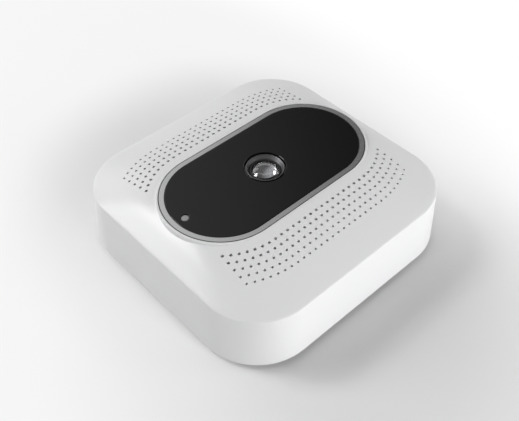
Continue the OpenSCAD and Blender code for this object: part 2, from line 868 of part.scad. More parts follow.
module speaker_screws() {
  color("gainsboro")
  for (side = [-1, 1]) for (x = [-1, 1])
    translate([x * ear_x, side * (speaker_y + ear_y), 0])
      screw(z_flange - ear_head_h, small_head_r, ear_head_h, small_screw_r, flange_t + ear_grip);
}

// Flat twin lead from a speaker's basket down to its socket on the main board
module speaker_lead() {
  z_out = z_basket + 2;
  z_end = z_board_top + lead_socket_h;
  y_bend = lead_y + lead_bend_r;
  color("firebrick")
  translate([lead_x - lead_w / 2, 0, 0]) rotate([90, 0, 90]) linear_extrude(lead_w) {
    translate([lead_y - lead_t / 2, z_end]) square([lead_t, z_out - z_end - lead_bend_r]);
    translate([y_bend, z_out - lead_bend_r]) intersection() {
      difference() {
        circle(lead_bend_r + lead_t / 2);
        circle(lead_bend_r - lead_t / 2);
      }
      translate([-lead_bend_r * 2, 0]) square(lead_bend_r * 2);
    }
    translate([y_bend, z_out - lead_t / 2]) square([basket_side - y_bend, lead_t]);
  }
}

module speaker_lead_front() { mirror([0, 1, 0]) speaker_lead(); }
module speaker_lead_rear() { speaker_lead(); }

module speaker_sockets() {
  color("white")
  for (side = [-1, 1])
    translate([lead_x - lead_w / 2 - 1.5, side * lead_y - lead_socket_w / 2, z_board_top])
      cube([lead_w + 3, lead_socket_w, lead_socket_h]);
}

module main_board() {
  color("darkgreen")
  difference() {
    translate([(board_right - board_left) / 2, 0, z_board]) linear_extrude(board_t)
      rounded_rectangle((board_left + board_right) / 2, board_half, board_corner);
    for (at = board_posts) translate([at.x, at.y, z_board - cut])
      cylinder(r = board_clear_r, h = board_t + 2 * cut);
  }
}

module main_board_screws() {
  color("gainsboro")
  for (at = board_posts) translate([at.x, at.y, z_board_top + board_head_h]) mirror([0, 0, 1])
    screw(0, board_head_r, board_head_h, board_screw_r, board_t + board_screw_l);
}

module processor() {
  color("darkslategray") translate([stack_x, 0, 0]) square_block(chip_w, z_board_top, chip_h);
}

module thermal_pad() {
  pad_w = chip_w - 1;
  pad_h = shield_h - shield_t - chip_h;
  color("lightblue") translate([stack_x, 0, 0]) square_block(pad_w, z_board_top + chip_h, pad_h);
}

module processor_shield() {
  color("silver")
  translate([stack_x, 0, z_board_top]) difference() {
    square_block(shield_w, 0, shield_h);
    square_block(shield_w - 2 * shield_t, -cut, cut + shield_h - shield_t);
  }
}

module heat_spreader() {
  fin_w = 1.4;
  fin_pitch = (spreader_d - fin_w) / (spreader_fins - 1);
  color("gainsboro")
  translate([stack_x - spreader_w / 2, -spreader_d / 2, z_board_top + shield_h]) {
    cube([spreader_w, spreader_d, spreader_t]);
    for (i = [0:spreader_fins - 1])
      translate([0, i * fin_pitch, 0]) cube([spreader_w, fin_w, spreader_t + spreader_fin_h]);
  }
}

module radio_module() {
  carrier_w = 16;
  carrier_l = 20;
  carrier_t = 0.8;
  can_w = 13;
  can_h = 2.4;
  can_shift = 2;
  color("silver")
  translate([-board_left + 12, 0, z_board_top]) {
    translate([-carrier_w / 2, -carrier_l / 2, 0]) cube([carrier_w, carrier_l, carrier_t]);
    translate([0, -can_shift, 0]) square_block(can_w, 0, can_h);
  }
}

// Bent metal aerial on two legs
module antenna() {
  sheet = 0.4;
  run = 14;
  height = 6.5;
  leg_w = 2;
  leg_h = 4.2;
  leg_pitch = 6;
  color("goldenrod")
  translate([-board_left + 2, 17, z_board_top]) difference() {
    cube([sheet, run, height]);
    translate([-cut, leg_w, -cut]) cube([sheet + 2 * cut, leg_pitch - leg_w, cut + leg_h]);
    translate([-cut, leg_pitch + leg_w, -cut]) cube([sheet + 2 * cut, run, cut + leg_h]);
  }
}

module antenna_front() { mirror([0, 1, 0]) antenna(); }
module antenna_rear() { antenna(); }

// The power parts stand in rows beside the inlet
power_y = -12;

module power_capacitors() {
  can_r = 2.5;
  can_h = 4.4;
  pitch = 7;
  color("dimgray")
  for (i = [0:2]) translate([board_right - 17, power_y - pitch * i, z_board_top])
    cylinder(r = can_r, h = can_h);
}

module power_inductor() {
  half = 3;
  corner = 1;
  h = 3;
  color("darkslategray")
  translate([board_right - 11, power_y, z_board_top]) linear_extrude(h) rounded_rectangle(half, half, corner);
}

// Power inlet: a flat shell with a contact tongue
module usb_c_socket() {
  run = (socket_w - socket_h) / 2;
  back_t = 1;
  tongue_half = run + 0.3;
  tongue_t = 0.7;
  tongue_l = socket_l - 1.4;
  color("silver")
  translate([x_socket - socket_l, 0, z_socket]) rotate([90, 0, 90]) {
    difference() {
      linear_extrude(socket_l) stadium(run, socket_h / 2);
      translate([0, 0, back_t]) linear_extrude(socket_l) stadium(run, socket_h / 2 - socket_wall);
    }
    translate([-tongue_half, -tongue_t / 2, back_t / 2]) cube([2 * tongue_half, tongue_t, tongue_l]);
  }
}

module reset_switch() {
  body_l = 3.6;
  body_half = 3;
  body_h = 4;
  plunger_r = 1.1;
  plunger_l = 1;
  color("dimgray") {
    translate([x_switch - plunger_l - body_l, button_y - body_half, z_board_top])
      cube([body_l, 2 * body_half, body_h]);
    translate([x_switch - 1.5 * plunger_l, button_y, z_button]) rotate([0, 90, 0])
      cylinder(r = plunger_r, h = 1.5 * plunger_l);
  }
}

module reset_button() {
  x_tip = x_wall + button_proud;
  x_stem = x_switch + switch_gap;
  stem_r = 1.5;
  soft = 0.3;
  color("whitesmoke")
  translate([0, button_y, z_button]) rotate([0, 90, 0]) rotate_extrude()
    polygon([
      [0, x_stem], [stem_r, x_stem], [stem_r, x_button_flange - button_flange_t],
      [button_flange_r, x_button_flange - button_flange_t], [button_flange_r, x_button_flange],
      [button_d / 2, x_button_flange], [button_d / 2, x_tip - soft], [button_d / 2 - soft, x_tip], [0, x_tip]
    ]);
}

// Foot of the housing
module keyhole_outline() {
  translate([0, -keyhole_drop]) circle(d = keyhole_entry_d);
  translate([-keyhole_slot_w / 2, -keyhole_drop]) square([keyhole_slot_w, 2 * keyhole_drop]);
  translate([0, keyhole_drop]) circle(d = keyhole_slot_w);
}

module base_cover() {
  vent_w = 1.6;
  vent_run = 5;
  vent_pitch = 5;
  color("white")
  difference() {
    union() {
      translate([0, 0, z_wall]) linear_extrude(base_t)
        rounded_rectangle(base_half_w, base_half_d, base_corner);
      difference() {
        translate([0, 0, z_base - 0.2]) linear_extrude(lip_h + 0.2) difference() {
          rounded_rectangle(base_half_w - lip_inset, base_half_d - lip_inset, base_corner - lip_inset);
          rounded_rectangle(base_half_w - lip_inset - lip_t, base_half_d - lip_inset - lip_t,
            base_corner - lip_inset - lip_t);
        }
        for (at = boss_points) translate([at.x, at.y, z_base]) cylinder(r = boss_r + 0.5, h = lip_h + cut);
      }
      for (at = board_posts) translate([at.x, at.y, z_wall]) cylinder(r = board_post_r, h = z_board - z_wall);
    }
    for (at = boss_points) translate([at.x, at.y, z_wall - cut]) {
      cylinder(r = screw_clear_r, h = base_t + 2 * cut);
      cylinder(r = screw_recess_r, h = cut + screw_recess_h);
    }
    for (at = board_posts) translate([at.x, at.y, z_board - board_pilot_h])
      cylinder(r = board_pilot_r, h = board_pilot_h + cut);
    for (x = [-1, 1]) for (y = [-1, 1])
      translate([x * foot_x, y * foot_y, z_wall - cut]) cylinder(r = foot_d / 2 + fit, h = cut + foot_recess);
    for (x = [-1, 1])
      translate([x * keyhole_spacing / 2, 0, z_wall - cut])
        linear_extrude(base_t + 2 * cut) keyhole_outline();
    for (i = [-3:3]) for (y = [-1, 1])
      translate([i * vent_pitch, y * vent_y, z_wall - cut]) rotate(90)
        linear_extrude(base_t + 2 * cut) stadium(vent_run, vent_w / 2);
  }
}

module rubber_feet() {
  soft = 0.4;
  r = foot_d / 2;
  color("dimgray")
  for (x = [-1, 1]) for (y = [-1, 1]) translate([x * foot_x, y * foot_y, 0]) rotate_extrude()
    polygon([[0, 0], [r - soft, 0], [r, soft], [r, z_wall + foot_recess], [0, z_wall + foot_recess]]);
}

module case_screws() {
  color("gainsboro")
  for (at = boss_points) translate([at.x, at.y, 0])
    screw(z_wall + 0.1, screw_head_r, screw_head_h, screw_r, screw_l);
}

top_cover();
base_cover();
rubber_feet();
case_screws();
bezel_ring();
panel_gasket();
front_panel();
lens_trim();
front_lens();
middle_lens();
rear_lens();
lens_spacer();
lens_barrel();
lens_holder();
infrared_filter();
image_sensor();
sensor_board();
sensor_board_screws();
status_light_pipe();
status_led();
ribbon_cable();
ribbon_sockets();
grille_cloth_front();
grille_cloth_rear();
speaker_gasket_front();
speaker_gasket_rear();
speaker_frame_front();
speaker_frame_rear();
speaker_magnet_front();
speaker_magnet_rear();
speaker_surround_front();
speaker_surround_rear();
speaker_cone_front();
speaker_cone_rear();
speaker_screws();
speaker_lead_front();
speaker_lead_rear();
speaker_sockets();
main_board();
main_board_screws();
processor();
thermal_pad();
processor_shield();
heat_spreader();
radio_module();
antenna_front();
antenna_rear();
power_capacitors();
power_inductor();
usb_c_socket();
reset_switch();
reset_button();
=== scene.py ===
"""Smart home hub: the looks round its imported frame. Metres, +Z up, +X towards the power inlet."""

import math

import bmesh
import bpy
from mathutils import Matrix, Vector


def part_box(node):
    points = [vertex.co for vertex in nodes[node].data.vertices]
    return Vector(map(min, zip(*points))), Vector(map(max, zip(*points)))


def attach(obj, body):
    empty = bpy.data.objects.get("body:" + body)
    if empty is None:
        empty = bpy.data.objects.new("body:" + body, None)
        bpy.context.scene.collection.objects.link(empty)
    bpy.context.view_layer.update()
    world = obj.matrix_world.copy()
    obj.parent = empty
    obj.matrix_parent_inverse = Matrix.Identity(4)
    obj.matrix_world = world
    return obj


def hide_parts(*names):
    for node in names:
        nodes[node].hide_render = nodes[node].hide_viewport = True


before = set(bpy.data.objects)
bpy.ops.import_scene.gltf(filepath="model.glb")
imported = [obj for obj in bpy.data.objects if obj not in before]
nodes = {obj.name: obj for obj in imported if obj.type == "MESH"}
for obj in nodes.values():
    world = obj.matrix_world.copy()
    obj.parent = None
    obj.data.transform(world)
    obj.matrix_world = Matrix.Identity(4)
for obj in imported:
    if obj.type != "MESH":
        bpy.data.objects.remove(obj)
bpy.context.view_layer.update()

# Driving sizes of the housing, as the part's source has them
MM = 0.001
HALF_W = 58 * MM
HALF_D = 56 * MM
CORNER_R = 24.4 * MM
WALL_H = 25 * MM
WALL_FLARE = 1.5 * MM
DOME_CREST = 10.8 * MM
DOME_POWER_X = 5
DOME_POWER_Y = 2.2
DOME_CORNER_POWER = 2.3
DOME_CAP_SHARE = 0.86
SHELL_T = 2.2 * MM
CEILING_DROP = 1.4 * MM
FIT = 0.15 * MM
GAP = 0.3 * MM
COLLAR_T = 0.9 * MM

# Places that the frame gives
WALL_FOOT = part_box("top_cover")[0].z
RIM = WALL_FOOT + WALL_H
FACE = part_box("front_panel")[1].z
PANEL_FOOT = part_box("front_panel")[0].z
PANEL_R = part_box("front_panel")[1].y
PANEL_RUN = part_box("front_panel")[1].x - PANEL_R
BEZEL_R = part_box("bezel_ring")[1].y
POCKET_R = BEZEL_R + FIT
COLLAR_R = POCKET_R + COLLAR_T
POCKET_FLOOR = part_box("lens_trim")[0].z
TUB_T = 1.6 * MM
TRIM_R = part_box("lens_trim")[1].x
LENS_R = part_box("front_lens")[1].x
LENS_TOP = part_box("front_lens")[1].z
LENS_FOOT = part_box("front_lens")[0].z
SPACER_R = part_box("lens_spacer")[1].x
SPACER_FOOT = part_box("lens_spacer")[0].z
SPACER_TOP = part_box("lens_spacer")[1].z
BARREL_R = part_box("lens_barrel")[1].x
LIGHT_X = (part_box("status_light_pipe")[0].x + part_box("status_light_pipe")[1].x) / 2
LIGHT_R = 1.6 * MM
BASE_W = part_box("base_cover")[1].x
BASE_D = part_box("base_cover")[1].y
BASE_R = CORNER_R + BASE_W - HALF_W
BASE_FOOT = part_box("base_cover")[0].z
BASE_T = 2.2 * MM
BASE_TOP = BASE_FOOT + BASE_T
BOARD_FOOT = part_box("main_board")[0].z
FOOT_R = 5.5 * MM
FOOT_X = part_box("rubber_feet")[1].x - FOOT_R
FOOT_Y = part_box("rubber_feet")[1].y - FOOT_R
FOOT_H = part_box("rubber_feet")[1].z
SCREW_HEAD_R = 2.5 * MM
SCREW_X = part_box("case_screws")[1].x - SCREW_HEAD_R
SCREW_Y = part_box("case_screws")[1].y - SCREW_HEAD_R
SCREW_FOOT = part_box("case_screws")[0].z
SCREW_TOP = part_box("case_screws")[1].z
BUTTON_R = 2 * MM
BUTTON_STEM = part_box("reset_button")[0].x
BUTTON_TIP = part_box("reset_button")[1].x
BUTTON_MIDDLE = (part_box("reset_button")[0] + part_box("reset_button")[1]) / 2
INLET_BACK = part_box("usb_c_socket")[0].x
INLET_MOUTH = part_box("usb_c_socket")[1].x
INLET_R = (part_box("usb_c_socket")[1].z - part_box("usb_c_socket")[0].z) / 2
INLET_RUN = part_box("usb_c_socket")[1].y - INLET_R
INLET_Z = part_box("usb_c_socket")[0].z + INLET_R

# Fineness of the meshes
CORNER_STEPS = 24
SIDE_STEPS = 16
END_STEPS = 64
ROUND_STEPS = 96
HEAD_STEPS = 48
BORE_STEPS = 32
PILOT_STEPS = 24
PIN_STEPS = 16
SOFT_STEPS = 6
DOME_STEPS = 26
CEILING_STEPS = 16
MERGE_DISTANCE = 0.001 * MM
SMOOTH_ANGLE = math.radians(32)

# How far one body reaches into another before they are joined, and a tool past what it cuts
SINK = 0.2 * MM
CLEAR = 1 * MM


# Outlines

def rounded_rectangle(half_w, half_d, r, z):
    """One ring round a rectangle, with equally many points in each corner and along each side."""
    ends = []
    for quarter, (side_x, side_y) in enumerate(((1, 1), (-1, 1), (-1, -1), (1, -1))):
        turns = [
            math.radians(90 * (quarter + step / CORNER_STEPS)) for step in range(CORNER_STEPS + 1)
        ]
        middle = Vector((side_x * (half_w - r), side_y * (half_d - r), z))
        ends.append([middle + Vector((r * math.cos(turn), r * math.sin(turn), 0)) for turn in turns])
    ring = []
    for quarter, corner in enumerate(ends):
        start, stop = corner[-1], ends[(quarter + 1) % 4][0]
        ring += corner + [start.lerp(stop, step / SIDE_STEPS) for step in range(1, SIDE_STEPS)]
    return ring


def dome_contour(inset, z, crest, share):
    """The dome's rounded rectangle at a share of its crest."""
    half_w = HALF_W - inset
    half_d = HALF_D - inset
    r = (CORNER_R - inset) / half_d
    reach_x = half_w * (1 - share) ** (1 / DOME_POWER_X)
    reach_y = half_d * (1 - share) ** (1 / DOME_POWER_Y)
    corner = reach_y * (r + (1 - r) * share ** DOME_CORNER_POWER)
    return rounded_rectangle(reach_x, reach_y, corner, z + crest * share)


def wall_contour(inset, z):
    """The drafted wall's rounded rectangle at a height."""
    flare = WALL_FLARE * (RIM - z) / WALL_H - inset
    return rounded_rectangle(HALF_W + flare, HALF_D + flare, CORNER_R + flare, z)


def stadium(r, z, run=PANEL_RUN):
    """One ring round a stadium."""
    ring = []
    for side, start in ((1, -90), (-1, 90)):
        for step in range(END_STEPS + 1):
            turn = math.radians(start + 180 * step / END_STEPS)
            ring.append(Vector((side * run + r * math.cos(turn), r * math.sin(turn), z)))
    return ring


def circle(r, z, x=0.0, y=0.0, steps=ROUND_STEPS):
    """One ring round a circle."""
    turns = [2 * math.pi * step / steps for step in range(steps)]
    return [Vector((x + r * math.cos(turn), y + r * math.sin(turn), z)) for turn in turns]


def base_contour(inset, z):
    """The base plate's rounded rectangle at a height."""
    return rounded_rectangle(BASE_W - inset, BASE_D - inset, BASE_R - inset, z)


def facing_x(ring, x, y=0.0, z=0.0):
    """A level ring, stood up to face +X at a place."""
    return [Vector((x, y + point.x, z + point.y)) for point in ring]


def turned(ring, x=0.0, y=0.0):
    """A level ring, turned a quarter round and moved."""
    return [Vector((x - point.y, y + point.x, point.z)) for point in ring]


def corners(x, y):
    """The four mirror places of a point."""
    return [Vector((side_x * x, side_y * y, 0)) for side_x in (-1, 1) for side_y in (-1, 1)]


def softened(low, corner, high, steps=SOFT_STEPS):
    """Rings on a soft curve from the ring low to the ring high, drawn towards the ring corner."""
    rings = []
    for step in range(steps + 1):
        t = step / steps
        shares = ((1 - t) ** 2, 2 * t * (1 - t), t ** 2)
        rings.append([
            a * shares[0] + b * shares[1] + c * shares[2] for a, b, c in zip(low, corner, high)
        ])
    return rings


# Modelling

def deselect():
    """Leaves nothing selected."""
    bpy.ops.object.select_all(action="DESELECT")


def pick(piece):
    """Makes a piece the only selected and active one."""
    deselect()
    piece.select_set(True)
    bpy.context.view_layer.objects.active = piece


def set_ring(piece, ring):
    """Moves the selected loop of vertices onto a ring."""
    mesh = bmesh.from_edit_mesh(piece.data)
    place = mesh.verts.layers.int["place"]
    for vert in mesh.verts:
        if vert.select:
            vert.co = ring[vert[place]]
    bmesh.update_edit_mesh(piece.data)


def lofted(name, rings, hollow=False):
    """Extrudes a circle through rings: a capped body, or a hollow ring whose last ring is its first."""
    deselect()
    bpy.ops.mesh.primitive_circle_add(vertices=len(rings[0]), fill_type="NOTHING" if hollow else "NGON")
    piece = bpy.context.object
    piece.name = name
    piece.data.name = name
    bpy.ops.object.mode_set(mode="EDIT")
    mesh = bmesh.from_edit_mesh(piece.data)
    place = mesh.verts.layers.int.new("place")
    for number, vert in enumerate(mesh.verts):
        vert[place] = number
    set_ring(piece, rings[0])
    for ring in rings[1:]:
        bpy.ops.mesh.extrude_region()
        set_ring(piece, ring)
    bpy.ops.mesh.select_all(action="SELECT")
    if hollow:
        bpy.ops.mesh.remove_doubles(threshold=MERGE_DISTANCE)
    bpy.ops.mesh.normals_make_consistent(inside=False)
    bpy.ops.object.mode_set(mode="OBJECT")
    piece.data.attributes.remove(piece.data.attributes["place"])
    return piece


def post(name, r, z_low, z_high, x=0.0, y=0.0, steps=ROUND_STEPS):
    """An upright round bar, for cutting or for joining on."""
    deselect()
    middle = (x, y, (z_low + z_high) / 2)
    bpy.ops.mesh.primitive_cylinder_add(
        vertices=steps, radius=r, depth=z_high - z_low, location=middle
    )
    piece = bpy.context.object
    piece.name = name
    bpy.ops.object.transform_apply(location=True, rotation=True, scale=True)
    return piece


def bar(name, low, high):
    """A block between two corners, for shaping or cutting."""
    deselect()
    size = Vector(high) - Vector(low)
    bpy.ops.mesh.primitive_cube_add(size=1, location=(Vector(low) + Vector(high)) / 2)
    piece = bpy.context.object
    piece.name = name
    piece.scale = size
    bpy.ops.object.transform_apply(location=True, rotation=True, scale=True)
    return piece


def rounded_off(piece, width, segments=4):
    """Rounds every sharp edge of a piece."""
    pick(piece)
    edge = piece.modifiers.new("edge", "BEVEL")
    edge.width = width
    edge.segments = segments
    edge.limit_method = "ANGLE"
    bpy.ops.object.modifier_apply(modifier=edge.name)
    return piece


def smooth_above(piece, z, repeat=60):
    """Evens out the curves of a piece above a height."""
    pick(piece)
    bpy.ops.object.mode_set(mode="EDIT")
    bpy.ops.mesh.select_mode(type="VERT")
    bpy.ops.mesh.select_all(action="DESELECT")
    mesh = bmesh.from_edit_mesh(piece.data)
    for vert in mesh.verts:
        vert.select = vert.co.z > z
    mesh.select_flush_mode()
    bmesh.update_edit_mesh(piece.data)
    bpy.ops.mesh.vertices_smooth(factor=0.5, repeat=repeat)
    bpy.ops.object.mode_set(mode="OBJECT")


def joined(name, pieces):
    """Several pieces as one mesh."""
    deselect()
    for piece in pieces:
        piece.select_set(True)
    bpy.context.view_layer.objects.active = pieces[0]
    bpy.ops.object.join()
    pieces[0].name = name
    pieces[0].data.name = name
    return pieces[0]


def copied(piece, offset, size=1.0):
    """A copy with its own mesh, scaled about its own upright axis and moved."""
    twin = piece.copy()
    twin.data = piece.data.copy()
    bpy.context.scene.collection.objects.link(twin)
    for vert in twin.data.vertices:
        vert.co = Vector((vert.co.x * size, vert.co.y * size, vert.co.z)) + offset
    return twin


def carve(piece, tool, operation="DIFFERENCE"):
    """Cuts a piece with a tool, or adds the tool to it, and clears the tool away."""
    pick(piece)
    cut = piece.modifiers.new("cut", "BOOLEAN")
    cut.operation = operation
    cut.solver = "EXACT"
    cut.object = tool
    bpy.ops.object.modifier_apply(modifier=cut.name)
    bpy.data.objects.remove(tool)


def settle(piece, finish, slot, *stands_for, body="housing"):
    """Gives a finished piece its material, smooth shading and its body, and hides the CAD nodes that it
    stands for.
    """
    piece.data.materials.clear()
    piece.data.materials.append(finish)
    pick(piece)
    bpy.ops.object.shade_smooth_by_angle(angle=SMOOTH_ANGLE)
    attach(piece, body)
    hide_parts(*stands_for)
    return piece


# Materials

def new_node(tree, kind, **values):
    """A shader node with these properties or input values."""
    made = tree.nodes.new(kind)
    for key, value in values.items():
        if hasattr(made, key):
            setattr(made, key, value)
        else:
            made.inputs[key.replace("_", " ").title()].default_value = value
    return made


def fine_grain_group():
    """Uneven tone, roughness and height of a moulded, brushed or cast surface."""
    tree = bpy.data.node_groups.new("fine_grain", "ShaderNodeTree")
    for name, kind, default in (
        ("Colour", "NodeSocketColor", (0.8, 0.8, 0.8, 1.0)),
        ("Tone", "NodeSocketFloat", 0.03),
        ("Roughness", "NodeSocketFloat", 0.4),
        ("Spread", "NodeSocketFloat", 0.06),
        ("Grains Per Metre", "NodeSocketFloat", 3000.0),
        ("Stretch", "NodeSocketVector", (1.0, 1.0, 1.0)),
    ):
        socket = tree.interface.new_socket(name, in_out="INPUT", socket_type=kind)
        socket.default_value = default
    for name, kind in (
        ("Colour", "NodeSocketColor"),
        ("Roughness", "NodeSocketFloat"),
        ("Height", "NodeSocketFloat"),
    ):
        tree.interface.new_socket(name, in_out="OUTPUT", socket_type=kind)
    link = tree.links.new
    given = new_node(tree, "NodeGroupInput")
    out = new_node(tree, "NodeGroupOutput")
    place = new_node(tree, "ShaderNodeTexCoord")
    stretched = new_node(tree, "ShaderNodeVectorMath", operation="MULTIPLY")
    grain = new_node(tree, "ShaderNodeTexNoise", detail=3.0)
    cloud = new_node(tree, "ShaderNodeTexNoise", detail=4.0, scale=60.0)
    mixed = new_node(tree, "ShaderNodeMath", operation="ADD")
    centred = new_node(tree, "ShaderNodeMath", operation="SUBTRACT")
    centred.inputs[1].default_value = 1.0
    toned = new_node(tree, "ShaderNodeMath", operation="MULTIPLY_ADD")
    toned.inputs[2].default_value = 1.0
    coloured = new_node(tree, "ShaderNodeVectorMath", operation="SCALE")
    rough = new_node(tree, "ShaderNodeMath", operation="MULTIPLY_ADD", use_clamp=True)
    link(place.outputs["Object"], stretched.inputs[0])
    link(given.outputs["Stretch"], stretched.inputs[1])
    link(stretched.outputs[0], grain.inputs["Vector"])
    link(given.outputs["Grains Per Metre"], grain.inputs["Scale"])
    link(place.outputs["Object"], cloud.inputs["Vector"])
    link(grain.outputs[0], mixed.inputs[0])
    link(cloud.outputs[0], mixed.inputs[1])
    link(mixed.outputs[0], centred.inputs[0])
    link(centred.outputs[0], toned.inputs[0])
    link(given.outputs["Tone"], toned.inputs[1])
    link(given.outputs["Colour"], coloured.inputs[0])
    link(toned.outputs[0], coloured.inputs["Scale"])
    link(centred.outputs[0], rough.inputs[0])
    link(given.outputs["Spread"], rough.inputs[1])
    link(given.outputs["Roughness"], rough.inputs[2])
    link(coloured.outputs[0], out.inputs["Colour"])
    link(rough.outputs[0], out.inputs["Roughness"])
    link(grain.outputs[0], out.inputs["Height"])
    return tree


fine_grain = fine_grain_group()


def grained(name, colour, roughness, metallic=0.0, tone=0.03, spread=0.06, grain=0.3 * MM,
            stretch=(1.0, 1.0, 1.0), depth=0.01 * MM, strength=0.15):
    """A material with fine grain on its colour, roughness and surface."""
    finish = bpy.data.materials.new(name)
    finish.use_nodes = True
    tree = finish.node_tree
    shader = tree.nodes["Principled BSDF"]
    shader.inputs["Metallic"].default_value = metallic
    surface = new_node(tree, "ShaderNodeGroup", node_tree=fine_grain)
    surface.inputs["Colour"].default_value = (*colour, 1.0)
    surface.inputs["Tone"].default_value = tone
    surface.inputs["Roughness"].default_value = roughness
    surface.inputs["Spread"].default_value = spread
    surface.inputs["Grains Per Metre"].default_value = 1 / grain
    surface.inputs["Stretch"].default_value = stretch
    bump = new_node(tree, "ShaderNodeBump", strength=strength, distance=depth)
    bump.name = "surface_bump"
    tree.links.new(surface.outputs["Colour"], shader.inputs["Base Color"])
    tree.links.new(surface.outputs["Roughness"], shader.inputs["Roughness"])
    tree.links.new(surface.outputs["Height"], bump.inputs["Height"])
    tree.links.new(bump.outputs["Normal"], shader.inputs["Normal"])
    return finish


def joined_values(tree, operation, first, second):
    """Two values, or a value and a number, put together."""
    made = new_node(tree, "ShaderNodeMath", operation=operation)
    tree.links.new(first, made.inputs[0])
    if isinstance(second, float):
        made.inputs[1].default_value = second
    else:
        tree.links.new(second, made.inputs[1])
    return made.outputs[0]


def pattern_group(name, build):
    """A node group that makes one mask of object coordinates; build(tree, place) gives its socket."""
    tree = bpy.data.node_groups.new(name, "ShaderNodeTree")
    tree.interface.new_socket("Mask", in_out="OUTPUT", socket_type="NodeSocketFloat")
    place = new_node(tree, "ShaderNodeTexCoord")
    out = new_node(tree, "NodeGroupOutput")
    tree.links.new(build(tree, place.outputs["Object"]), out.inputs["Mask"])
    return tree


def stripes(tree, place, direction, pitch):
    """Soft stripes across X, Y or Z, from 0 to 1."""
    bands_per_unit = 10 / math.pi
    scale = 1 / bands_per_unit / pitch
    waves = new_node(tree, "ShaderNodeTexWave", bands_direction=direction, scale=scale)
    tree.links.new(place, waves.inputs["Vector"])
    return waves.outputs["Fac"]


def cells(tree, place, pitch, **values):
    """Distance from the middle of the nearest cell, in cells."""
    field = new_node(tree, "ShaderNodeTexVoronoi", scale=1 / pitch, **values)
    tree.links.new(place, field.inputs["Vector"])
    return field.outputs["Distance"]


def threads(tree, place):
    """Woven threads."""
    pitch = 0.5 * MM
    along = stripes(tree, place, "X", pitch)
    across = stripes(tree, place, "Y", pitch)
    return joined_values(tree, "MULTIPLY", along, across)


def bubbles(tree, place):
    """The bubbles of a foam."""
    bubble = 0.7 * MM
    return cells(tree, place, bubble)


def traces(tree, place):
    """Stepped copper lines under a solder mask."""
    field_size = 11 * MM
    line_pitch = 0.06
    line_edge = 0.036
    field = cells(tree, place, field_size, voronoi_dimensions="2D", distance="MANHATTAN")
    lines = joined_values(tree, "PINGPONG", field, line_pitch)
    return joined_values(tree, "GREATER_THAN", lines, line_edge)


def plated_holes(tree, place):
    """Rows of plated holes in a board."""
    pitch = 3.5 * MM
    hole_share = 0.11
    field = cells(tree, place, pitch, voronoi_dimensions="2D", randomness=0.0)
    return joined_values(tree, "LESS_THAN", field, hole_share)


def conductors(tree, place):
    """The flat conductors of a ribbon cable."""
    pitch = 1 * MM
    gap_share = 0.55
    return joined_values(tree, "GREATER_THAN", stripes(tree, place, "Y", pitch), gap_share)


def laid_over(finish, pattern, colour):
    """Lays a colour over a finish where a pattern is."""
    tree = finish.node_tree
    base = tree.nodes["Principled BSDF"].inputs["Base Color"]
    under = base.links[0].from_socket
    mask = new_node(tree, "ShaderNodeGroup", node_tree=pattern)
    mix = new_node(tree, "ShaderNodeMix", data_type="RGBA")
    share, low, high = mix.inputs[0], mix.inputs[6], mix.inputs[7]
    tree.links.new(mask.outputs["Mask"], share)
    tree.links.new(under, low)
    high.default_value = (*colour, 1.0)
    tree.links.new(mix.outputs[2], base)


def raised_by(finish, pattern):
    """Lets a pattern stand out of a finish in place of its grain."""
    tree = finish.node_tree
    mask = new_node(tree, "ShaderNodeGroup", node_tree=pattern)
    tree.links.new(mask.outputs["Mask"], tree.nodes["surface_bump"].inputs["Height"])


def set_shader(finish, **values):
    """Sets constants on a finish's shader."""
    shader = finish.node_tree.nodes["Principled BSDF"]
    for key, value in values.items():
        shader.inputs[key.replace("_", " ")].default_value = value


white_plastic = grained(
    "white_plastic", (0.72, 0.722, 0.728), 0.32, tone=0.012, spread=0.05, grain=0.25 * MM,
)
bezel_metal = grained(
    "bezel_metal", (0.84, 0.845, 0.85), 0.2, metallic=1.0, tone=0.04, spread=0.03,
    grain=0.12 * MM, strength=0.03,
)
bowl_metal = grained(
    "bowl_metal", (0.6, 0.6, 0.61), 0.15, metallic=1.0, tone=0.03, spread=0.02, strength=0.0,
)
black_panel = grained(
    "black_panel", (0.004, 0.004, 0.004), 0.1, tone=0.05, spread=0.03, strength=0.01,
)
trim_metal = grained(
    "trim_metal", (0.13, 0.13, 0.134), 0.4, metallic=1.0, tone=0.04, spread=0.03,
    grain=0.1 * MM, strength=0.04,
)
# Black plastic; also laid on the bezel's sides as painted shade
black_plastic = grained("black_plastic", (0.02, 0.02, 0.021), 0.45, tone=0.1)
rubber_black = grained(
    "rubber_black", (0.03, 0.03, 0.03), 0.75, tone=0.15, grain=0.4 * MM, strength=0.4,
)
foam_grey = grained(
    "foam_grey", (0.12, 0.12, 0.125), 0.9, tone=0.3, grain=0.5 * MM, depth=0.2 * MM,
    strength=0.8,
)
grille_fabric = grained(
    "grille_fabric", (0.02, 0.02, 0.021), 0.9, tone=0.3, grain=0.3 * MM, depth=0.1 * MM,
    strength=0.6,
)
cone_fibre = grained("cone_fibre", (0.06, 0.06, 0.06), 0.8, tone=0.3, grain=0.6 * MM, strength=0.5)
screw_steel = grained("screw_steel", (0.55, 0.55, 0.56), 0.35, metallic=1.0, grain=0.2 * MM)
sheet_steel = grained("sheet_steel", (0.6, 0.6, 0.61), 0.3, metallic=1.0, stretch=(0.05, 1.0, 1.0))
aluminium_plate = grained(
    "aluminium_plate", (0.72, 0.72, 0.73), 0.38, metallic=1.0, stretch=(0.04, 1.0, 1.0),
)
brass_sheet = grained("brass_sheet", (0.75, 0.55, 0.22), 0.32, metallic=1.0, stretch=(1.0, 0.05, 1.0))
board_laminate = grained("board_laminate", (0.012, 0.09, 0.035), 0.4, tone=0.15, grain=1.2 * MM)
chip_plastic = grained("chip_plastic", (0.025, 0.025, 0.027), 0.55, tone=0.1)
light_plastic = grained("light_plastic", (0.28, 0.28, 0.28), 0.4, tone=0.05)
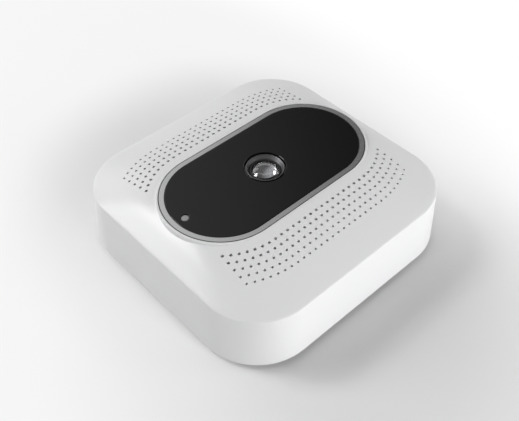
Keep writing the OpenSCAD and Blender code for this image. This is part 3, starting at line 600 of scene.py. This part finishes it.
connector_plastic = grained("connector_plastic", (0.72, 0.69, 0.6), 0.5, tone=0.05)
ribbon_film = grained("ribbon_film", (0.62, 0.62, 0.6), 0.4, tone=0.05)
lead_jacket = grained("lead_jacket", (0.5, 0.04, 0.03), 0.5, tone=0.08)
lens_glass = grained(
    "lens_glass", (0.93, 0.94, 0.95), 0.0, tone=0.02, spread=0.0, strength=0.0,
)
coated_glass = grained(
    "coated_glass", (0.3, 0.3, 0.315), 0.12, metallic=0.7, tone=0.04, spread=0.02,
    strength=0.0,
)
set_shader(lens_glass, Transmission_Weight=1.0, IOR=1.7)
weave = pattern_group("weave", threads)
foam_cells = pattern_group("foam_cells", bubbles)
laid_over(grille_fabric, weave, (0.07, 0.07, 0.073))
raised_by(grille_fabric, weave)
raised_by(foam_grey, foam_cells)
laid_over(board_laminate, pattern_group("board_traces", traces), (0.03, 0.2, 0.08))
laid_over(board_laminate, pattern_group("board_holes", plated_holes), (0.7, 0.55, 0.2))
laid_over(ribbon_film, pattern_group("ribbon_conductors", conductors), (0.4, 0.4, 0.41))


# Housing

def make_cover():
    """The white housing: drafted wall, soft rim, dome, raised collar and the two grilles."""
    edge = 0.45 * MM
    foot_edge = 0.4 * MM
    rim_share = 0.03
    smooth_from = RIM + 1.0 * MM
    pocket_top = FACE + 4 * MM
    rim_reach = (1 - rim_share) ** (1 / DOME_POWER_Y)
    cap_reach = (1 - DOME_CAP_SHARE) ** (1 / DOME_POWER_Y)
    reaches = [
        rim_reach + (cap_reach - rim_reach) * step / DOME_STEPS for step in range(1, DOME_STEPS + 1)
    ]
    rings = softened(
        wall_contour(foot_edge, WALL_FOOT),
        wall_contour(0, WALL_FOOT),
        wall_contour(0, WALL_FOOT + foot_edge),
    )
    rings += softened(
        wall_contour(0, RIM - edge),
        wall_contour(0, RIM),
        dome_contour(0, RIM, DOME_CREST, rim_share),
    )
    rings += [dome_contour(0, RIM, DOME_CREST, 1 - reach ** DOME_POWER_Y) for reach in reaches]
    cover = lofted("cover", rings)
    smooth_above(cover, smooth_from)
    collar_edge = 0.35 * MM
    collar_rings = [stadium(COLLAR_R, POCKET_FLOOR - TUB_T)]
    collar_rings += softened(
        stadium(COLLAR_R, FACE - collar_edge),
        stadium(COLLAR_R, FACE),
        stadium(COLLAR_R - collar_edge, FACE),
    )
    collar_rings.append(stadium(COLLAR_R - 2 * collar_edge, FACE))
    carve(cover, lofted("collar", collar_rings), "UNION")
    carve(cover, make_cavity())
    carve(cover, lofted("pocket", [stadium(POCKET_R, POCKET_FLOOR), stadium(POCKET_R, pocket_top)]))
    carve(cover, make_cover_bores())
    carve(cover, make_wall_openings())
    carve(cover, make_grille_tool())
    return cover


def make_cavity():
    """The room inside the housing, less the tub under the panel."""
    crest = DOME_CREST - SHELL_T + CEILING_DROP
    levels = [step / CEILING_STEPS * DOME_CAP_SHARE for step in range(CEILING_STEPS + 1)]
    rings = [wall_contour(SHELL_T, WALL_FOOT - CLEAR)]
    rings += [dome_contour(SHELL_T, RIM - CEILING_DROP, crest, level) for level in levels]
    cavity = lofted("cavity", rings)
    tub_rings = [stadium(COLLAR_R, POCKET_FLOOR - TUB_T), stadium(COLLAR_R, FACE + CLEAR)]
    carve(cavity, lofted("tub", tub_rings))
    posts = []
    for at, foot, r, _, _ in cover_posts():
        posts.append(post("post", r, foot, FACE, at.x, at.y, BORE_STEPS))
    carve(cavity, joined("posts", posts))
    return cavity


def cover_posts():
    """Place, foot, radius, bore and bore depth of each post that takes a screw inside the cover."""
    head_r = 2 * MM
    pilot = 0.95 * MM
    case_r, case_bore, case_depth = 3.4 * MM, 1.25 * MM, 10 * MM
    sensor_r, sensor_depth = 2.6 * MM, 7 * MM
    speaker_r, speaker_depth = 3 * MM, 3.2 * MM
    low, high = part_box("sensor_board_screws")
    sensor_middle = (low.x + high.x) / 2
    sensor_places = corners((high.x - low.x) / 2 - head_r, high.y - head_r)
    speaker_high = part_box("speaker_screws")[1]
    posts = [(at, BASE_TOP, case_r, case_bore, case_depth) for at in corners(SCREW_X, SCREW_Y)]
    for at in sensor_places:
        place = at + Vector((sensor_middle, 0, 0))
        posts.append((place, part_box("sensor_board")[1].z, sensor_r, pilot, sensor_depth))
    for at in corners(speaker_high.x - head_r, speaker_high.y - head_r):
        posts.append((at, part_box("speaker_frame_front")[1].z, speaker_r, pilot, speaker_depth))
    return posts


def make_cover_bores():
    """Screw bores in the posts, and the passages of lens and light through the tub's floor."""
    lens_gap = 0.5 * MM
    low = POCKET_FLOOR - TUB_T - CLEAR
    high = POCKET_FLOOR + CLEAR
    bores = [
        post("lens_passage", BARREL_R + lens_gap, low, high),
        post("light_passage", LIGHT_R + FIT, low, high, LIGHT_X),
    ]
    for at, foot, _, bore, depth in cover_posts():
        bores.append(post("bore", bore, foot - CLEAR, foot + depth, at.x, at.y, PILOT_STEPS))
    return joined("bores", bores)


def make_wall_openings():
    """The openings of the power inlet and the reset button, with soft outer edges."""
    reach = 3 * MM
    edge = 0.3 * MM
    inlet_gap = 0.5 * MM
    no_run = 0.001 * MM
    tools = []
    for name, y, z, r, run in (
        ("inlet_opening", 0.0, INLET_Z, INLET_R + inlet_gap, INLET_RUN),
        ("button_opening", BUTTON_MIDDLE.y, BUTTON_MIDDLE.z, BUTTON_R + GAP, no_run),
    ):
        wall = HALF_W + WALL_FLARE * (RIM - z) / WALL_H
        tools.append(lofted(name, [
            facing_x(stadium(r, 0, run), wall - 2 * reach, y, z),
            facing_x(stadium(r, 0, run), wall - edge, y, z),
            facing_x(stadium(r + edge / 2, 0, run), wall - edge / 4, y, z),
            facing_x(stadium(r + edge + reach, 0, run), wall + reach, y, z),
        ]))
    return joined("wall_openings", tools)


# Grilles
GRILLE_ROWS = 5
GRILLE_COLUMNS = 30
GRILLE_FIRST_R = 30.3 * MM
GRILLE_ROW_PITCH = 3 * MM
GRILLE_COLUMN_PITCH = 3.07 * MM
GRILLE_FIRST_D = 1.3 * MM
GRILLE_LAST_D = 1.0 * MM


def grille_point(row, column):
    """Place of a hole in the rear grille, which follows the panel's outline."""
    r = GRILLE_FIRST_R + row * GRILLE_ROW_PITCH
    along = (column - (GRILLE_COLUMNS - 1) / 2) * GRILLE_COLUMN_PITCH
    bend = max(abs(along) - PANEL_RUN, 0) / r
    x = math.copysign(min(abs(along), PANEL_RUN) + r * math.sin(bend), along)
    return Vector((x, r * math.cos(bend), 0))


def make_grille_tool():
    """All holes of both grilles as one tool."""
    unit_r = 0.5
    past = 2 * MM
    pin = post("grille_pin", unit_r, RIM + past, FACE + past, steps=PIN_STEPS)
    pins = []
    for row in range(GRILLE_ROWS):
        d = GRILLE_FIRST_D + (GRILLE_LAST_D - GRILLE_FIRST_D) * row / (GRILLE_ROWS - 1)
        for column in range(GRILLE_COLUMNS):
            at = grille_point(row, column)
            for side in (-1, 1):
                pins.append(copied(pin, Vector((at.x, side * at.y, 0)), d))
    bpy.data.objects.remove(pin)
    return joined("grille_pins", pins)


settle(make_cover(), white_plastic, "white_plastic", "top_cover")


# Front panel, bezel and lens

def make_bezel():
    """The flat satin ring round the panel, with a ledge under the panel's edge; its sides are painted
    black as shade, for the dark gap line round the ring and to keep glints off its soft edges.
    """
    inner = PANEL_R + FIT
    outer = BEZEL_R - 0.15 * MM
    edge = 0.1 * MM
    level = 0.999
    ledge_r = PANEL_R - 1.6 * MM
    ledge_top = POCKET_FLOOR + 1.9 * MM
    rings = [stadium(ledge_r, POCKET_FLOOR), stadium(outer, POCKET_FLOOR)]
    rings += softened(stadium(outer, FACE - edge), stadium(outer, FACE), stadium(outer - edge, FACE))
    rings += [stadium(outer - 2 * edge, FACE), stadium(inner + 2 * edge, FACE)]
    rings += softened(stadium(inner + edge, FACE), stadium(inner, FACE), stadium(inner, FACE - edge))
    rings += [stadium(inner, ledge_top), stadium(ledge_r, ledge_top), rings[0]]
    bezel = settle(lofted("bezel", rings, hollow=True), bezel_metal, "bezel_metal", "bezel_ring")
    # Painted shade: every face but the flat top takes the black finish, so the gap round the ring and
    # its soft edges read dark
    bezel.data.materials.append(black_plastic)
    for face in bezel.data.polygons:
        if face.normal.z < level:
            face.material_index = 1


def make_panel():
    """The black gloss panel with its lens opening and light hole."""
    edge = 0.2 * MM
    chamfer = 0.12 * MM
    rings = [stadium(PANEL_R, PANEL_FOOT)]
    rings += softened(
        stadium(PANEL_R, FACE - edge), stadium(PANEL_R, FACE), stadium(PANEL_R - edge, FACE)
    )
    panel = lofted("panel", rings + [stadium(PANEL_R - 2 * edge, FACE)])
    for x, r in ((0, TRIM_R + GAP), (LIGHT_X, LIGHT_R + FIT)):
        carve(panel, lofted("opening", [
            circle(r, PANEL_FOOT - CLEAR, x),
            circle(r, FACE - chamfer, x),
            circle(r + chamfer + CLEAR, FACE + CLEAR, x),
        ]))
    return panel


def make_trim():
    """The conical dish between the panel and the lens, set off from the panel by a groove."""
    bore = LENS_R + 0.9 * MM
    foot = LENS_R + 1.6 * MM
    rim = TRIM_R - 0.5 * MM
    groove = FACE - 1.2 * MM
    top = FACE - 0.2 * MM
    low = FACE - 2.1 * MM
    under = low - 0.6 * MM
    edge = 0.15 * MM
    rings = [circle(foot, POCKET_FLOOR), circle(TRIM_R, POCKET_FLOOR)]
    rings += [circle(TRIM_R, groove), circle(rim, groove)]
    rings += softened(circle(rim, top - edge), circle(rim, top), circle(rim - edge, top))
    rings += softened(
        circle(rim - 1.5 * edge, top), circle(rim - 2 * edge, top), circle(rim - 3 * edge, top - edge)
    )
    rings += [circle(bore + edge, low + edge), circle(bore, low), circle(bore, under)]
    rings += [circle(foot, under), rings[0]]
    return lofted("trim", rings, hollow=True)


def cap_rings(r, rise, z, steps=24):
    """Rings up a spherical cap, from its edge to close by its top."""
    ball = (r * r + rise * rise) / (2 * rise)
    widest = math.asin(r / ball)
    turns = [widest * (1 - step / steps) for step in range(steps)]
    return [circle(ball * math.sin(turn), z + rise - ball + ball * math.cos(turn)) for turn in turns]


def make_front_lens():
    """A thick meniscus: an outer cap over a shallow inner one."""
    edge = 0.6 * MM
    rise = LENS_TOP - LENS_FOOT - edge
    inner_r = LENS_R - 1.4 * MM
    inner_rise = 0.3 * MM
    outer = [circle(LENS_R, LENS_FOOT)] + cap_rings(LENS_R, rise, LENS_FOOT + edge)
    inner = [circle(inner_r, LENS_FOOT - edge)] + cap_rings(inner_r, inner_rise, LENS_FOOT)
    lens = lofted("lens", outer)
    carve(lens, lofted("hollow", inner))
    return lens


def make_lens_bowl():
    """The bright bowl that holds the lenses apart, narrowing to the aperture."""
    top_r = SPACER_R - 0.3 * MM
    throat_r = 1.8 * MM
    depth = 2.6 * MM
    rings = [circle(SPACER_R, SPACER_FOOT), circle(SPACER_R, SPACER_TOP), circle(top_r, SPACER_TOP)]
    steps = 12
    for step in range(1, steps + 1):
        turn = math.pi / 2 * step / steps
        r = throat_r + (top_r - throat_r) * math.cos(turn)
        rings.append(circle(r, SPACER_TOP - depth * math.sin(turn)))
    rings += [circle(throat_r, SPACER_FOOT), rings[0]]
    return lofted("lens_bowl", rings, hollow=True)


def make_light():
    """The status light's pipe with a slightly domed end."""
    top = FACE - 0.1 * MM
    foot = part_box("status_light_pipe")[0].z
    edge = 0.35 * MM
    flat_share = 0.3
    rings = [circle(LIGHT_R, foot, LIGHT_X)]
    rings += softened(
        circle(LIGHT_R, top - edge, LIGHT_X),
        circle(LIGHT_R, top, LIGHT_X),
        circle(LIGHT_R * flat_share, top, LIGHT_X),
    )
    return lofted("light", rings)


make_bezel()
settle(make_panel(), black_panel, "black_panel", "front_panel")
settle(make_trim(), trim_metal, "trim_metal", "lens_trim")
settle(make_front_lens(), lens_glass, "lens_glass", "front_lens")
settle(make_lens_bowl(), bowl_metal, "bezel_metal", "lens_spacer")
settle(make_light(), light_plastic, "light_plastic", "status_light_pipe")


# Underside
SCREW_SEAT_R = 2.9 * MM
SCREW_SEAT_DEPTH = 1.2 * MM
SCREW_BORE_R = 1.5 * MM
FOOT_SEAT_DEPTH = 0.6 * MM
BOARD_POST_R = 3 * MM
BOARD_BORE_R = 1.15 * MM
BOARD_BORE_DEPTH = 4.2 * MM
VENTS_EACH_WAY = 3
VENT_R = 0.8 * MM
VENT_RUN = 5 * MM
VENT_PITCH = 5 * MM
VENT_Y = 16 * MM
KEYHOLE_X = 30 * MM
KEYHOLE_HEAD_R = 4 * MM
KEYHOLE_HEAD_Y = -4 * MM
KEYHOLE_SLOT_R = 2.1 * MM
KEYHOLE_SLOT_RUN = 4 * MM
THROUGH = BASE_T + 0.5 * MM


def soft_hole(name, outline, deep):
    """A cutting tool up through the base from below, with a soft lower edge.

    outline(grow, z) gives its rings.
    """
    edge = 0.25 * MM
    return lofted(name, [
        outline(edge + CLEAR, BASE_FOOT - CLEAR),
        outline(edge / 3, BASE_FOOT + edge / 3),
        outline(0, BASE_FOOT + edge),
        outline(0, BASE_FOOT + deep),
    ])


def make_lip():
    """The base's lip inside the cover's wall, notched round the screw posts."""
    foot = BASE_TOP - SINK
    top = BASE_TOP + 3 * MM
    outer = 1 * MM
    inner = 2.4 * MM
    notch_r = 3.9 * MM
    notch_top = BASE_TOP + 5 * MM
    lip = lofted("lip", [
        base_contour(outer, foot), base_contour(outer, top),
        base_contour(inner, top), base_contour(inner, foot), base_contour(outer, foot),
    ], hollow=True)
    notches = []
    for at in corners(SCREW_X, SCREW_Y):
        notches.append(post("notch", notch_r, BASE_TOP, notch_top, at.x, at.y, HEAD_STEPS))
    carve(lip, joined("notches", notches))
    return lip


def board_places():
    """Where the main board is screwed to the base."""
    head_r = 2.4 * MM
    low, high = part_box("main_board_screws")
    middle = (low.x + high.x) / 2
    places = corners((high.x - low.x) / 2 - head_r, high.y - head_r)
    return [at + Vector((middle, 0, 0)) for at in places]


def make_base_openings():
    """Seats of feet and screws, vents and the keyholes' round heads."""
    openings = []
    for at in corners(FOOT_X, FOOT_Y):
        openings.append(soft_hole(
            "foot_seat", lambda g, z: circle(FOOT_R + FIT + g, z, at.x, at.y), FOOT_SEAT_DEPTH
        ))
    for at in corners(SCREW_X, SCREW_Y):
        openings.append(soft_hole(
            "screw_seat",
            lambda g, z: circle(SCREW_SEAT_R + g, z, at.x, at.y, HEAD_STEPS),
            SCREW_SEAT_DEPTH,
        ))
    for step in range(-VENTS_EACH_WAY, VENTS_EACH_WAY + 1):
        for y in (-VENT_Y, VENT_Y):
            x = step * VENT_PITCH
            openings.append(soft_hole(
                "vent", lambda g, z: turned(stadium(VENT_R + g, z, VENT_RUN), x, y), THROUGH
            ))
    for x in (-KEYHOLE_X, KEYHOLE_X):
        openings.append(soft_hole(
            "keyhole", lambda g, z: circle(KEYHOLE_HEAD_R + g, z, x, KEYHOLE_HEAD_Y), THROUGH
        ))
    return joined("base_openings", openings)


def make_base_bores():
    """Screw bores and the keyholes' slots."""
    bores = []
    for at in corners(SCREW_X, SCREW_Y):
        bores.append(post("bore", SCREW_BORE_R, 0, BASE_TOP + CLEAR, at.x, at.y, BORE_STEPS))
    low = BOARD_FOOT - BOARD_BORE_DEPTH
    for at in board_places():
        bores.append(post("bore", BOARD_BORE_R, low, BOARD_FOOT + CLEAR, at.x, at.y, BORE_STEPS))
    for x in (-KEYHOLE_X, KEYHOLE_X):
        bores.append(soft_hole(
            "keyhole_slot",
            lambda g, z: turned(stadium(KEYHOLE_SLOT_R + g, z, KEYHOLE_SLOT_RUN), x),
            THROUGH,
        ))
    return joined("base_bores", bores)


def make_base():
    """The base plate: a lip inside the cover, board posts, recesses, hanging keyholes and vents."""
    edge = 0.4 * MM
    rings = softened(
        base_contour(edge, BASE_FOOT), base_contour(0, BASE_FOOT), base_contour(0, BASE_FOOT + edge)
    )
    base = lofted("base", rings + [base_contour(0, BASE_TOP)])
    carve(base, make_lip(), "UNION")
    posts = []
    for at in board_places():
        posts.append(post("post", BOARD_POST_R, BASE_TOP - SINK, BOARD_FOOT, at.x, at.y, HEAD_STEPS))
    carve(base, joined("board_posts", posts), "UNION")
    carve(base, make_base_openings())
    carve(base, make_base_bores())
    return base


def make_feet():
    """Four rubber feet with a shallow grip ring underneath."""
    edge = 0.5 * MM
    land = 1.2 * MM
    slope = 0.2 * MM
    depth = 0.35 * MM
    downwards = -0.99
    foot = rounded_off(post("foot", FOOT_R, 0, FOOT_H), edge)
    pick(foot)
    bpy.ops.object.mode_set(mode="EDIT")
    bpy.ops.mesh.select_mode(type="FACE")
    bpy.ops.mesh.select_all(action="DESELECT")
    mesh = bmesh.from_edit_mesh(foot.data)
    for face in mesh.faces:
        face.select = face.normal.z < downwards
    bmesh.update_edit_mesh(foot.data)
    bpy.ops.mesh.inset(thickness=land)
    bpy.ops.mesh.inset(thickness=slope)
    bpy.ops.transform.translate(value=(0, 0, depth))
    bpy.ops.object.mode_set(mode="OBJECT")
    feet = joined("feet", [copied(foot, at) for at in corners(FOOT_X, FOOT_Y)])
    bpy.data.objects.remove(foot)
    return feet


def make_screws():
    """Four case screws with rounded heads and cross recesses."""
    head_top = SCREW_FOOT + 1.1 * MM
    head_edge = 0.35 * MM
    shank_r = 1.2 * MM
    shank_foot = head_top - 0.3 * MM
    reach = 1.5 * MM
    half = 0.44 * MM
    cross_top = SCREW_FOOT + 0.55 * MM
    head = post("screw", SCREW_HEAD_R, SCREW_FOOT, head_top, steps=HEAD_STEPS)
    screw = rounded_off(head, head_edge)
    carve(screw, post("shank", shank_r, shank_foot, SCREW_TOP, steps=BORE_STEPS), "UNION")
    for long_x, long_y in ((reach, half), (half, reach)):
        carve(screw, bar("cross", (-long_x, -long_y, 0), (long_x, long_y, cross_top)))
    screws = joined("screws", [copied(screw, at) for at in corners(SCREW_X, SCREW_Y)])
    bpy.data.objects.remove(screw)
    return screws


# Power inlet and reset button
TONGUE_HALF_T = 0.35 * MM


def make_inlet():
    """The inlet's metal shell, closed at the back and rolled at the mouth."""
    wall = 0.3 * MM
    roll = wall / 2
    inner_back = INLET_BACK + 1 * MM

    def outline(inset, x):
        return facing_x(stadium(INLET_R - inset, 0, INLET_RUN), x, 0, INLET_Z)

    rings = [outline(0, INLET_BACK)]
    rings += softened(
        outline(0, INLET_MOUTH - roll), outline(0, INLET_MOUTH), outline(roll, INLET_MOUTH)
    )
    rings += softened(
        outline(roll, INLET_MOUTH), outline(wall, INLET_MOUTH), outline(wall, INLET_MOUTH - roll)
    )
    return lofted("inlet", rings + [outline(wall, inner_back)])


def make_inlet_tongue():
    """The dark tongue inside the inlet."""
    half = INLET_RUN + 0.3 * MM
    edge = 0.12 * MM
    low = (INLET_BACK + 0.5 * MM, -half, INLET_Z - TONGUE_HALF_T)
    high = (INLET_MOUTH - 0.9 * MM, half, INLET_Z + TONGUE_HALF_T)
    return rounded_off(bar("inlet_tongue", low, high), edge)


def make_inlet_contacts():
    """Two rows of twelve contacts on the tongue."""
    count = 12
    pitch = 0.5 * MM
    half = 0.13 * MM
    half_t = 0.04 * MM
    edge = 0.02 * MM
    contacts = []
    for side in (-1, 1):
        z = INLET_Z + side * TONGUE_HALF_T
        low = (INLET_BACK + 1.5 * MM, -half, z - half_t)
        high = (INLET_MOUTH - 1.3 * MM, half, z + half_t)
        contact = rounded_off(bar("contact", low, high), edge, 2)
        for step in range(count):
            contacts.append(copied(contact, Vector((0, (step - (count - 1) / 2) * pitch, 0))))
        bpy.data.objects.remove(contact)
    return joined("inlet_contacts", contacts)


def make_button():
    """The reset button: stem, stop flange and a round cap with a shallow dish in its end."""
    stem_r = 1.5 * MM
    flange_r = 3 * MM
    edge = 0.35 * MM
    wall = HALF_W + WALL_FLARE * (RIM - BUTTON_MIDDLE.z) / WALL_H
    flange_face = wall - SHELL_T - GAP - 2 * WALL_FLARE * flange_r / WALL_H
    flange_back = flange_face - 1.2 * MM
    dish_side = BUTTON_TIP - 0.15 * MM
    dish_floor = BUTTON_TIP - 0.18 * MM
    dish_r = 0.2 * MM

    def outline(r, x):
        return facing_x(circle(r, 0), x, BUTTON_MIDDLE.y, BUTTON_MIDDLE.z)

    rings = [outline(stem_r, BUTTON_STEM), outline(stem_r, flange_back), outline(flange_r, flange_back)]
    rings += [outline(flange_r, flange_face), outline(BUTTON_R, flange_face)]
    rings += softened(
        outline(BUTTON_R, BUTTON_TIP - edge),
        outline(BUTTON_R, BUTTON_TIP),
        outline(BUTTON_R - edge, BUTTON_TIP),
    )
    rings += softened(
        outline(BUTTON_R - 2 * edge, BUTTON_TIP),
        outline(BUTTON_R - 3 * edge, dish_side),
        outline(dish_r, dish_floor),
    )
    return lofted("button", rings)


settle(make_base(), white_plastic, "white_plastic", "base_cover")
settle(make_feet(), rubber_black, "rubber_black", "rubber_feet")
settle(make_screws(), screw_steel, "screw_steel", "case_screws")
settle(make_inlet(), sheet_steel, "sheet_steel", "usb_c_socket")
settle(make_inlet_tongue(), black_plastic, "black_plastic", "usb_c_socket")
settle(make_inlet_contacts(), brass_sheet, "brass_sheet", "usb_c_socket")
settle(make_button(), white_plastic, "white_plastic", "reset_button", body="button")

# Finishes of the CAD nodes that stay
node_finishes = {
    black_plastic: [
        "lens_barrel", "lens_holder", "speaker_frame_front", "speaker_frame_rear", "reset_switch",
    ],
    lens_glass: ["rear_lens", "infrared_filter"],
    coated_glass: ["middle_lens"],
    rubber_black: ["panel_gasket", "speaker_surround_front", "speaker_surround_rear"],
    foam_grey: ["speaker_gasket_front", "speaker_gasket_rear", "thermal_pad"],
    grille_fabric: ["grille_cloth_front", "grille_cloth_rear"],
    cone_fibre: ["speaker_cone_front", "speaker_cone_rear"],
    screw_steel: ["sensor_board_screws", "speaker_screws", "main_board_screws"],
    sheet_steel: ["speaker_magnet_front", "speaker_magnet_rear", "processor_shield", "radio_module"],
    aluminium_plate: ["heat_spreader"],
    brass_sheet: ["antenna_front", "antenna_rear"],
    board_laminate: ["sensor_board", "main_board"],
    chip_plastic: ["image_sensor", "processor", "power_capacitors", "power_inductor"],
    connector_plastic: ["ribbon_sockets", "speaker_sockets", "status_led"],
    ribbon_film: ["ribbon_cable"],
    lead_jacket: ["speaker_lead_front", "speaker_lead_rear"],
}
for finish, names in node_finishes.items():
    for name in names:
        nodes[name].data.materials.clear()
        nodes[name].data.materials.append(finish)


# Stage, light and camera

def seen_directly(tree):
    """1 for the rays that see the background itself, straight or by way of metal and glass."""
    path = new_node(tree, "ShaderNodeLightPath")
    mirrored = new_node(tree, "ShaderNodeMath", operation="ADD", use_clamp=True)
    seen = new_node(tree, "ShaderNodeMath", operation="ADD", use_clamp=True)
    tree.links.new(path.outputs["Is Glossy Ray"], mirrored.inputs[0])
    tree.links.new(path.outputs["Is Transmission Ray"], mirrored.inputs[1])
    tree.links.new(path.outputs["Is Camera Ray"], seen.inputs[0])
    tree.links.new(mirrored.outputs[0], seen.inputs[1])
    return seen.outputs[0]


def ramp(tree, value, low, high, at_low, at_high):
    """A smooth step from one level to another."""
    step = new_node(tree, "ShaderNodeMapRange", interpolation_type="SMOOTHSTEP")
    for key, number in (
        ("From Min", low), ("From Max", high), ("To Min", at_low), ("To Max", at_high),
    ):
        step.inputs[key].default_value = number
    tree.links.new(value, step.inputs["Value"])
    return step.outputs["Result"]


def away_from(tree, point, near, far, at_near, at_far):
    """A smooth step of the distance from a point."""
    place = new_node(tree, "ShaderNodeTexCoord")
    away = new_node(tree, "ShaderNodeVectorMath", operation="DISTANCE")
    away.inputs[1].default_value = point
    tree.links.new(place.outputs["Object"], away.inputs[0])
    return ramp(tree, away.outputs["Value"], near, far, at_near, at_far)


def make_floor():
    """Pale paper that keeps its lit shading and shadow near the housing, under a painted white glow
    farther out.
    """
    width = 6
    tone = 0.756
    deselect()
    bpy.ops.mesh.primitive_plane_add(size=width)
    floor = bpy.context.object
    floor.name = "floor"
    paper = bpy.data.materials.new("paper_with_painted_glow")
    paper.use_nodes = True
    tree = paper.node_tree
    shader = tree.nodes["Principled BSDF"]
    shader.inputs["Base Color"].default_value = (tone, tone, tone, 1.0)
    shader.inputs["Roughness"].default_value = 0.9
    shader.inputs["Specular IOR Level"].default_value = 0.1
    glow = new_node(tree, "ShaderNodeEmission")
    # Painted light: the glow's share grows with the distance from three points, leaving the shadow in
    # front and a soft darker halo behind the housing
    front = away_from(
        tree, (-14 * MM, -69 * MM, 0), near=28 * MM, far=131 * MM, at_near=0.01, at_far=0.75
    )
    rear = away_from(
        tree, (4 * MM, 31 * MM, 0), near=50 * MM, far=109 * MM, at_near=0.17, at_far=1.0
    )
    far = away_from(
        tree, (-250 * MM, 63 * MM, 0), near=348 * MM, far=401 * MM, at_near=0.0, at_far=1.0
    )
    near = joined_values(tree, "MULTIPLY", front, rear)
    both = joined_values(tree, "MULTIPLY", near, far)
    whiter = joined_values(tree, "SUBTRACT", joined_values(tree, "ADD", near, far), both)
    mix = new_node(tree, "ShaderNodeMixShader")
    tree.links.new(joined_values(tree, "MULTIPLY", seen_directly(tree), whiter), mix.inputs["Fac"])
    tree.links.new(shader.outputs[0], mix.inputs[1])
    tree.links.new(glow.outputs[0], mix.inputs[2])
    tree.links.new(mix.outputs[0], tree.nodes["Material Output"].inputs["Surface"])
    floor.data.materials.append(paper)


def softbox(name, azimuth, elevation, size, power, mirrored=True):
    """A square lamp that looks at the housing; azimuth 0 stands on the +X side, 90 on the +Y side.

    One that isn't mirrored lights the housing, but doesn't show in what is shiny.
    """
    distance = 1.0
    lamp = bpy.data.lights.new(name, "AREA")
    lamp.size = size
    lamp.energy = power
    box = bpy.data.objects.new(name, lamp)
    bpy.context.scene.collection.objects.link(box)
    level = math.cos(math.radians(elevation))
    towards = Vector((
        level * math.cos(math.radians(azimuth)),
        level * math.sin(math.radians(azimuth)),
        math.sin(math.radians(elevation)),
    ))
    box.visible_glossy = mirrored
    box.location = Vector((0, 0, RIM / 2)) + towards * distance
    box.rotation_euler = towards.to_track_quat("Z", "Y").to_euler()


def make_world():
    """A dim room with a glow round the main lamp, and white behind the floor's edge."""
    glow_towards = Vector((-0.265, 0.656, 0.707))
    white_light = (1.0, 1.0, 1.0, 1.0)
    world = bpy.data.worlds.new("studio")
    bpy.context.scene.world = world
    world.use_nodes = True
    tree = world.node_tree
    room = tree.nodes["Background"]
    room.inputs["Color"].default_value = white_light
    place = new_node(tree, "ShaderNodeTexCoord")
    side = new_node(tree, "ShaderNodeVectorMath", operation="DOT_PRODUCT")
    side.inputs[1].default_value = glow_towards
    tree.links.new(place.outputs["Generated"], side.inputs[0])
    glow = ramp(tree, side.outputs["Value"], low=0.55, high=0.9, at_low=0.07, at_high=0.64)
    tree.links.new(glow, room.inputs["Strength"])
    height = new_node(tree, "ShaderNodeSeparateXYZ")
    tree.links.new(place.outputs["Generated"], height.inputs[0])
    white = new_node(tree, "ShaderNodeBackground")
    white.inputs["Color"].default_value = white_light
    low = ramp(tree, height.outputs["Z"], low=0.34, high=0.6, at_low=1.0, at_high=0.0)
    mix = new_node(tree, "ShaderNodeMixShader")
    tree.links.new(joined_values(tree, "MULTIPLY", seen_directly(tree), low), mix.inputs["Fac"])
    tree.links.new(room.outputs[0], mix.inputs[1])
    tree.links.new(white.outputs[0], mix.inputs[2])
    tree.links.new(mix.outputs[0], tree.nodes["World Output"].inputs["Surface"])


# The view that was found for the photograph, round the middle of the panel's face
VIEW_AZIMUTH = math.radians(-42.83)
VIEW_ELEVATION = math.radians(46.355)
VIEW_DISTANCE = 309.57 * MM
VIEW_SIDEWAYS = -2.25 * MM
VIEW_UPWARDS = -17.66 * MM
VIEW_LENS = 53.14
SENSOR_W = 36
NEAREST_SEEN = 10 * MM


def make_camera():
    """The camera that took the photograph, as far as it could be found."""
    level = math.cos(VIEW_ELEVATION)
    back = Vector((
        math.sin(VIEW_AZIMUTH) * level, -math.cos(VIEW_AZIMUTH) * level, math.sin(VIEW_ELEVATION)
    ))
    right = Vector((math.cos(VIEW_AZIMUTH), math.sin(VIEW_AZIMUTH), 0))
    up = back.cross(right)
    data = bpy.data.cameras.new("camera")
    data.lens = VIEW_LENS
    data.sensor_width = SENSOR_W
    camera = bpy.data.objects.new("camera", data)
    bpy.context.scene.collection.objects.link(camera)
    looked_at = Vector((0, 0, FACE))
    camera.location = looked_at + back * VIEW_DISTANCE + right * VIEW_SIDEWAYS + up * VIEW_UPWARDS
    camera.rotation_euler = back.to_track_quat("Z", "Y").to_euler()
    data.clip_start = NEAREST_SEEN
    bpy.context.scene.camera = camera


make_floor()
make_world()
softbox("top_light", azimuth=120, elevation=48, size=0.26, power=3.1)
softbox("back_light", azimuth=90, elevation=30, size=0.4, power=0.9)
softbox("left_light", azimuth=135, elevation=30, size=0.4, power=2.9)
softbox("front_light", azimuth=270, elevation=12, size=0.4, power=7.3, mirrored=False)
softbox("right_light", azimuth=318, elevation=7, size=0.4, power=4.3, mirrored=False)
make_camera()
bpy.context.scene.view_settings.view_transform = "Standard"
